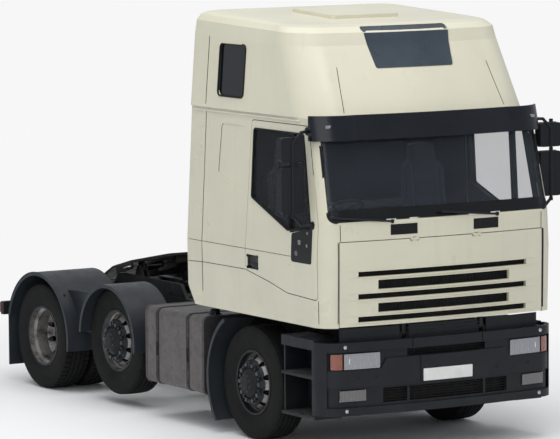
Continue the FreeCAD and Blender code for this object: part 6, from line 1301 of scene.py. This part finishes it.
# Seats and bunk: padded forms in woven cloth, swollen by air pressure on cloth, with channels sewn in and
# piping along their edges. The mattress lies across the back of the cab, and a woven mat covers the floor.
def cloth(name, base, second):
    """Coarse woven upholstery: two crossing ribs of thread over a slow change of shade."""
    shade = Shade(name, Roughness=0.92, Sheen_Weight=0.35, Sheen_Roughness=0.5)
    ribs = shade.math("MAXIMUM", shade.waves(140.0, "X"), shade.waves(140.0, "Z"))
    shade.colour(shade.mix(ribs, flat(base, 0.6), shade.mix(shade.cloud(3.0, 5.0), base, second)))
    shade.bump(ribs, 0.5, 0.0008)
    return shade.mat


carpet = cloth("floor_mat", (0.05, 0.05, 0.052), (0.075, 0.072, 0.07))
seat_cloth = cloth("seat_cloth", (0.022, 0.028, 0.044), (0.040, 0.045, 0.060))
bunk_cloth = cloth("bunk_cloth", (0.060, 0.060, 0.066), (0.090, 0.085, 0.080))
finish(carpet, "cab_floor")
finish(seat_cloth, "seats")
finish(bunk_cloth, "bunk")
PRESSURE, FRAMES = 4.0, 20


def padded(name, kit, voxel, cap, channels, edge, material):
    """A pad: remeshed, swollen by at most cap, channelled, and with piping along the edge lines."""
    obj = placed(name, kit.mesh(name))
    even = obj.modifiers.new("even", "REMESH")
    even.mode = "VOXEL"
    even.voxel_size = voxel
    mesh = evaluated(obj)
    before = [v.co.copy() for v in mesh.vertices]
    cloth = obj.modifiers.new("pad", "CLOTH")
    cloth.settings.quality = 4
    cloth.settings.use_pressure = True
    cloth.settings.uniform_pressure_force = PRESSURE
    cloth.settings.effector_weights.gravity = 0.0
    cloth.collision_settings.use_collision = False
    for step in range(1, FRAMES + 1):
        scene.frame_set(step)
    mesh = evaluated(obj)
    scene.frame_set(1)
    for v, old in zip(mesh.vertices, before):
        move = v.co - old
        if move.length > cap:
            v.co = old + move.normalized() * cap
    normals = [n.vector.copy() for n in mesh.vertex_normals]
    for v, normal in zip(mesh.vertices, normals):
        v.co -= normal * sum(deep * math.exp(-(away(v.co) / wide) ** 2) for away, deep, wide in channels)
    obj.modifiers.new("soft", "SUBSURF").levels = 1
    mesh = evaluated(obj)
    mesh.shade_smooth()
    mesh.materials.clear()
    mesh.materials.append(material)
    tree = surface_tree(mesh)
    piping = Kit()
    for line in edge:
        piping.tube([tree.find_nearest(p)[0] for p in spread(line, 0.03)], 0.0042, True)
    trim = piping.piece(name + "_piping", "cab", cord_edge, "seat_cloth")
    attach(obj, "cab")
    return obj, trim


def twin(obj, name, shift):
    """The same finished form a step to the side."""
    mesh = obj.data.copy()
    mesh.transform(Matrix.Translation((shift, 0, 0)))
    other = placed(name, mesh)
    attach(other, "cab")
    return other


cord_edge = plastic("piping_cord", (0.020, 0.022, 0.028), 0.6, 0.05, 300.0, 0.0)
# The pads start CUT inside their solids. Channels far from a point count as NOWHERE.
SEAT_AT, SEAT_STEP, CUT, NOWHERE = -0.720, 1.440, 0.016, 9.0
base = rounded([(SEAT_AT - 0.25 + CUT, -0.600 + CUT), (SEAT_AT + 0.25 - CUT, -0.600 + CUT),
                (SEAT_AT + 0.25 - CUT, -0.075), (SEAT_AT - 0.25 + CUT, -0.075)], 0.07, 4)
kit = Kit().prism([row(x, y, 1.752) for x, y in base], (0, 0, 0.148 - CUT), 0.030, 3)
ribs = [(lambda p, x=SEAT_AT + off: abs(p.x - x) if p.z > 1.84 else NOWHERE, 0.011, 0.012)
        for off in (-0.15, 0.15)]
ribs += [(lambda p, y=y: abs(p.y - y - AXLE_Y) if p.z > 1.84 and abs(p.x - SEAT_AT) < 0.15 else NOWHERE,
          0.008, 0.010) for y in (-0.48, -0.36, -0.24)]
cushion, cushion_piping = padded("seat_cushion_right", kit, 0.010, 0.015, ribs,
                                 [[row(x, y, 1.880) for x, y in base]], seat_cloth)
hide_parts("seats")


def lean(x, t, z):
    """A point of the backrest: t in from its front face, at height z."""
    return row(x, -0.100 + 0.090 * (z - 1.900) / 0.740 + t, z)


def back_line(t):
    """The backrest's outline with its narrower head part, t in from the front face."""
    right = [(0.234, 1.925), (0.222, 2.40), (0.140, 2.47), (0.130, 2.622)]
    corners = [(SEAT_AT - 0.234, 1.925)] + [(SEAT_AT + x, z) for x, z in right]
    corners += [(SEAT_AT - x, z) for x, z in right[:0:-1]]
    return [lean(x, t, z) for x, z in rounded(corners, 0.045, 4)]


def on_front(p):
    return p.y < lean(0, 0.05, p.z).y


kit = Kit().prism(back_line(CUT), (0, 0.140 - 2 * CUT, 0), 0.028, 3)
ribs = [(lambda p, x=SEAT_AT + off: abs(p.x - x) if on_front(p) and p.z < 2.42 else NOWHERE, 0.011, 0.012)
        for off in (-0.14, 0.14)]
ribs += [(lambda p, z=z: abs(p.z - z) if on_front(p) and abs(p.x - SEAT_AT) < 0.14 else NOWHERE, 0.008, 0.010)
         for z in (2.03, 2.15, 2.27, 2.39)]
back, back_piping = padded("seat_back_right", kit, 0.010, 0.014, ribs, [back_line(0.022)], seat_cloth)
for obj, name in ((cushion, "seat_cushion_left"), (cushion_piping, "seat_cushion_piping_left"),
                  (back, "seat_back_left"), (back_piping, "seat_back_piping_left")):
    other = twin(obj, name, SEAT_STEP)

flat_top = oblong(-1.100, 1.100, 0.352, 0.950, 0.06, 4)
kit = Kit().prism([row(x, y, 1.892) for x, y in flat_top], (0, 0, 0.116), 0.026, 3)
bands = [(lambda p, x=x: abs(p.x - x) if p.z > 1.96 else NOWHERE, 0.012, 0.020)
         for x in (-0.66, -0.22, 0.22, 0.66)]
mattress, piping = padded("bunk_mattress", kit, 0.020, 0.010, bands,
                          [[row(x, y, z) for x, y in flat_top] for z in (2.004, 1.900)], bunk_cloth)
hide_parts("bunk")

# Dashboard: a grained dark moulding across the cab, with an arched hood over three dials at the wheel.
# Six slatted air vents are let into its face. The steering wheel has the same plastic.
dash_trim = plastic("dashboard_trim", (0.022, 0.024, 0.028), 0.6, 0.08, 260.0, 0.0)
finish(dash_trim, "dashboard", "steering_wheel")
dash_skin = Skin("dashboard")
hood, dials, vents = Kit(), Kit(), Kit()
hood.prism([row(-0.720 - 0.26 * math.cos(a), -1.180, 2.040 + 0.080 * math.sin(a))
            for a in steps(0, math.pi, 12)], (0, 0.150, 0), 0.010)
for x, z, r in ((-0.82, 2.055, 0.048), (-0.70, 2.055, 0.048), (-0.60, 2.065, 0.026)):
    dials.turned([(0, r), (0.003, r), (0.003, r * 0.9), (0.001, r * 0.86), (0.001, 0.0001)],
                 row(x, -1.029, z), (0, 1, 0), 24)
for x in (-1.02, -0.30, -0.12, 0.10, 0.62, 1.00):
    at = dash_skin.lay(x, 1.93, "rear")
    if at:
        vents.slab(at + Vector((-0.070, -0.004, -0.030)), at + Vector((0.070, 0.006, 0.030)), 0.004)
        for k in range(4):
            low = at + Vector((-0.062, 0.005, -0.022 + 0.013 * k))
            vents.slab(low, low + Vector((0.124, 0.005, 0.003)), 0.001, 1)
hood.piece("instrument_hood", "cab", dash_trim, "guard_plastic")
dials.piece("instrument_dials", "cab", gloss_black, "guard_plastic", 20)
vents.piece("dash_vents", "cab", black_rubber, "guard_plastic")
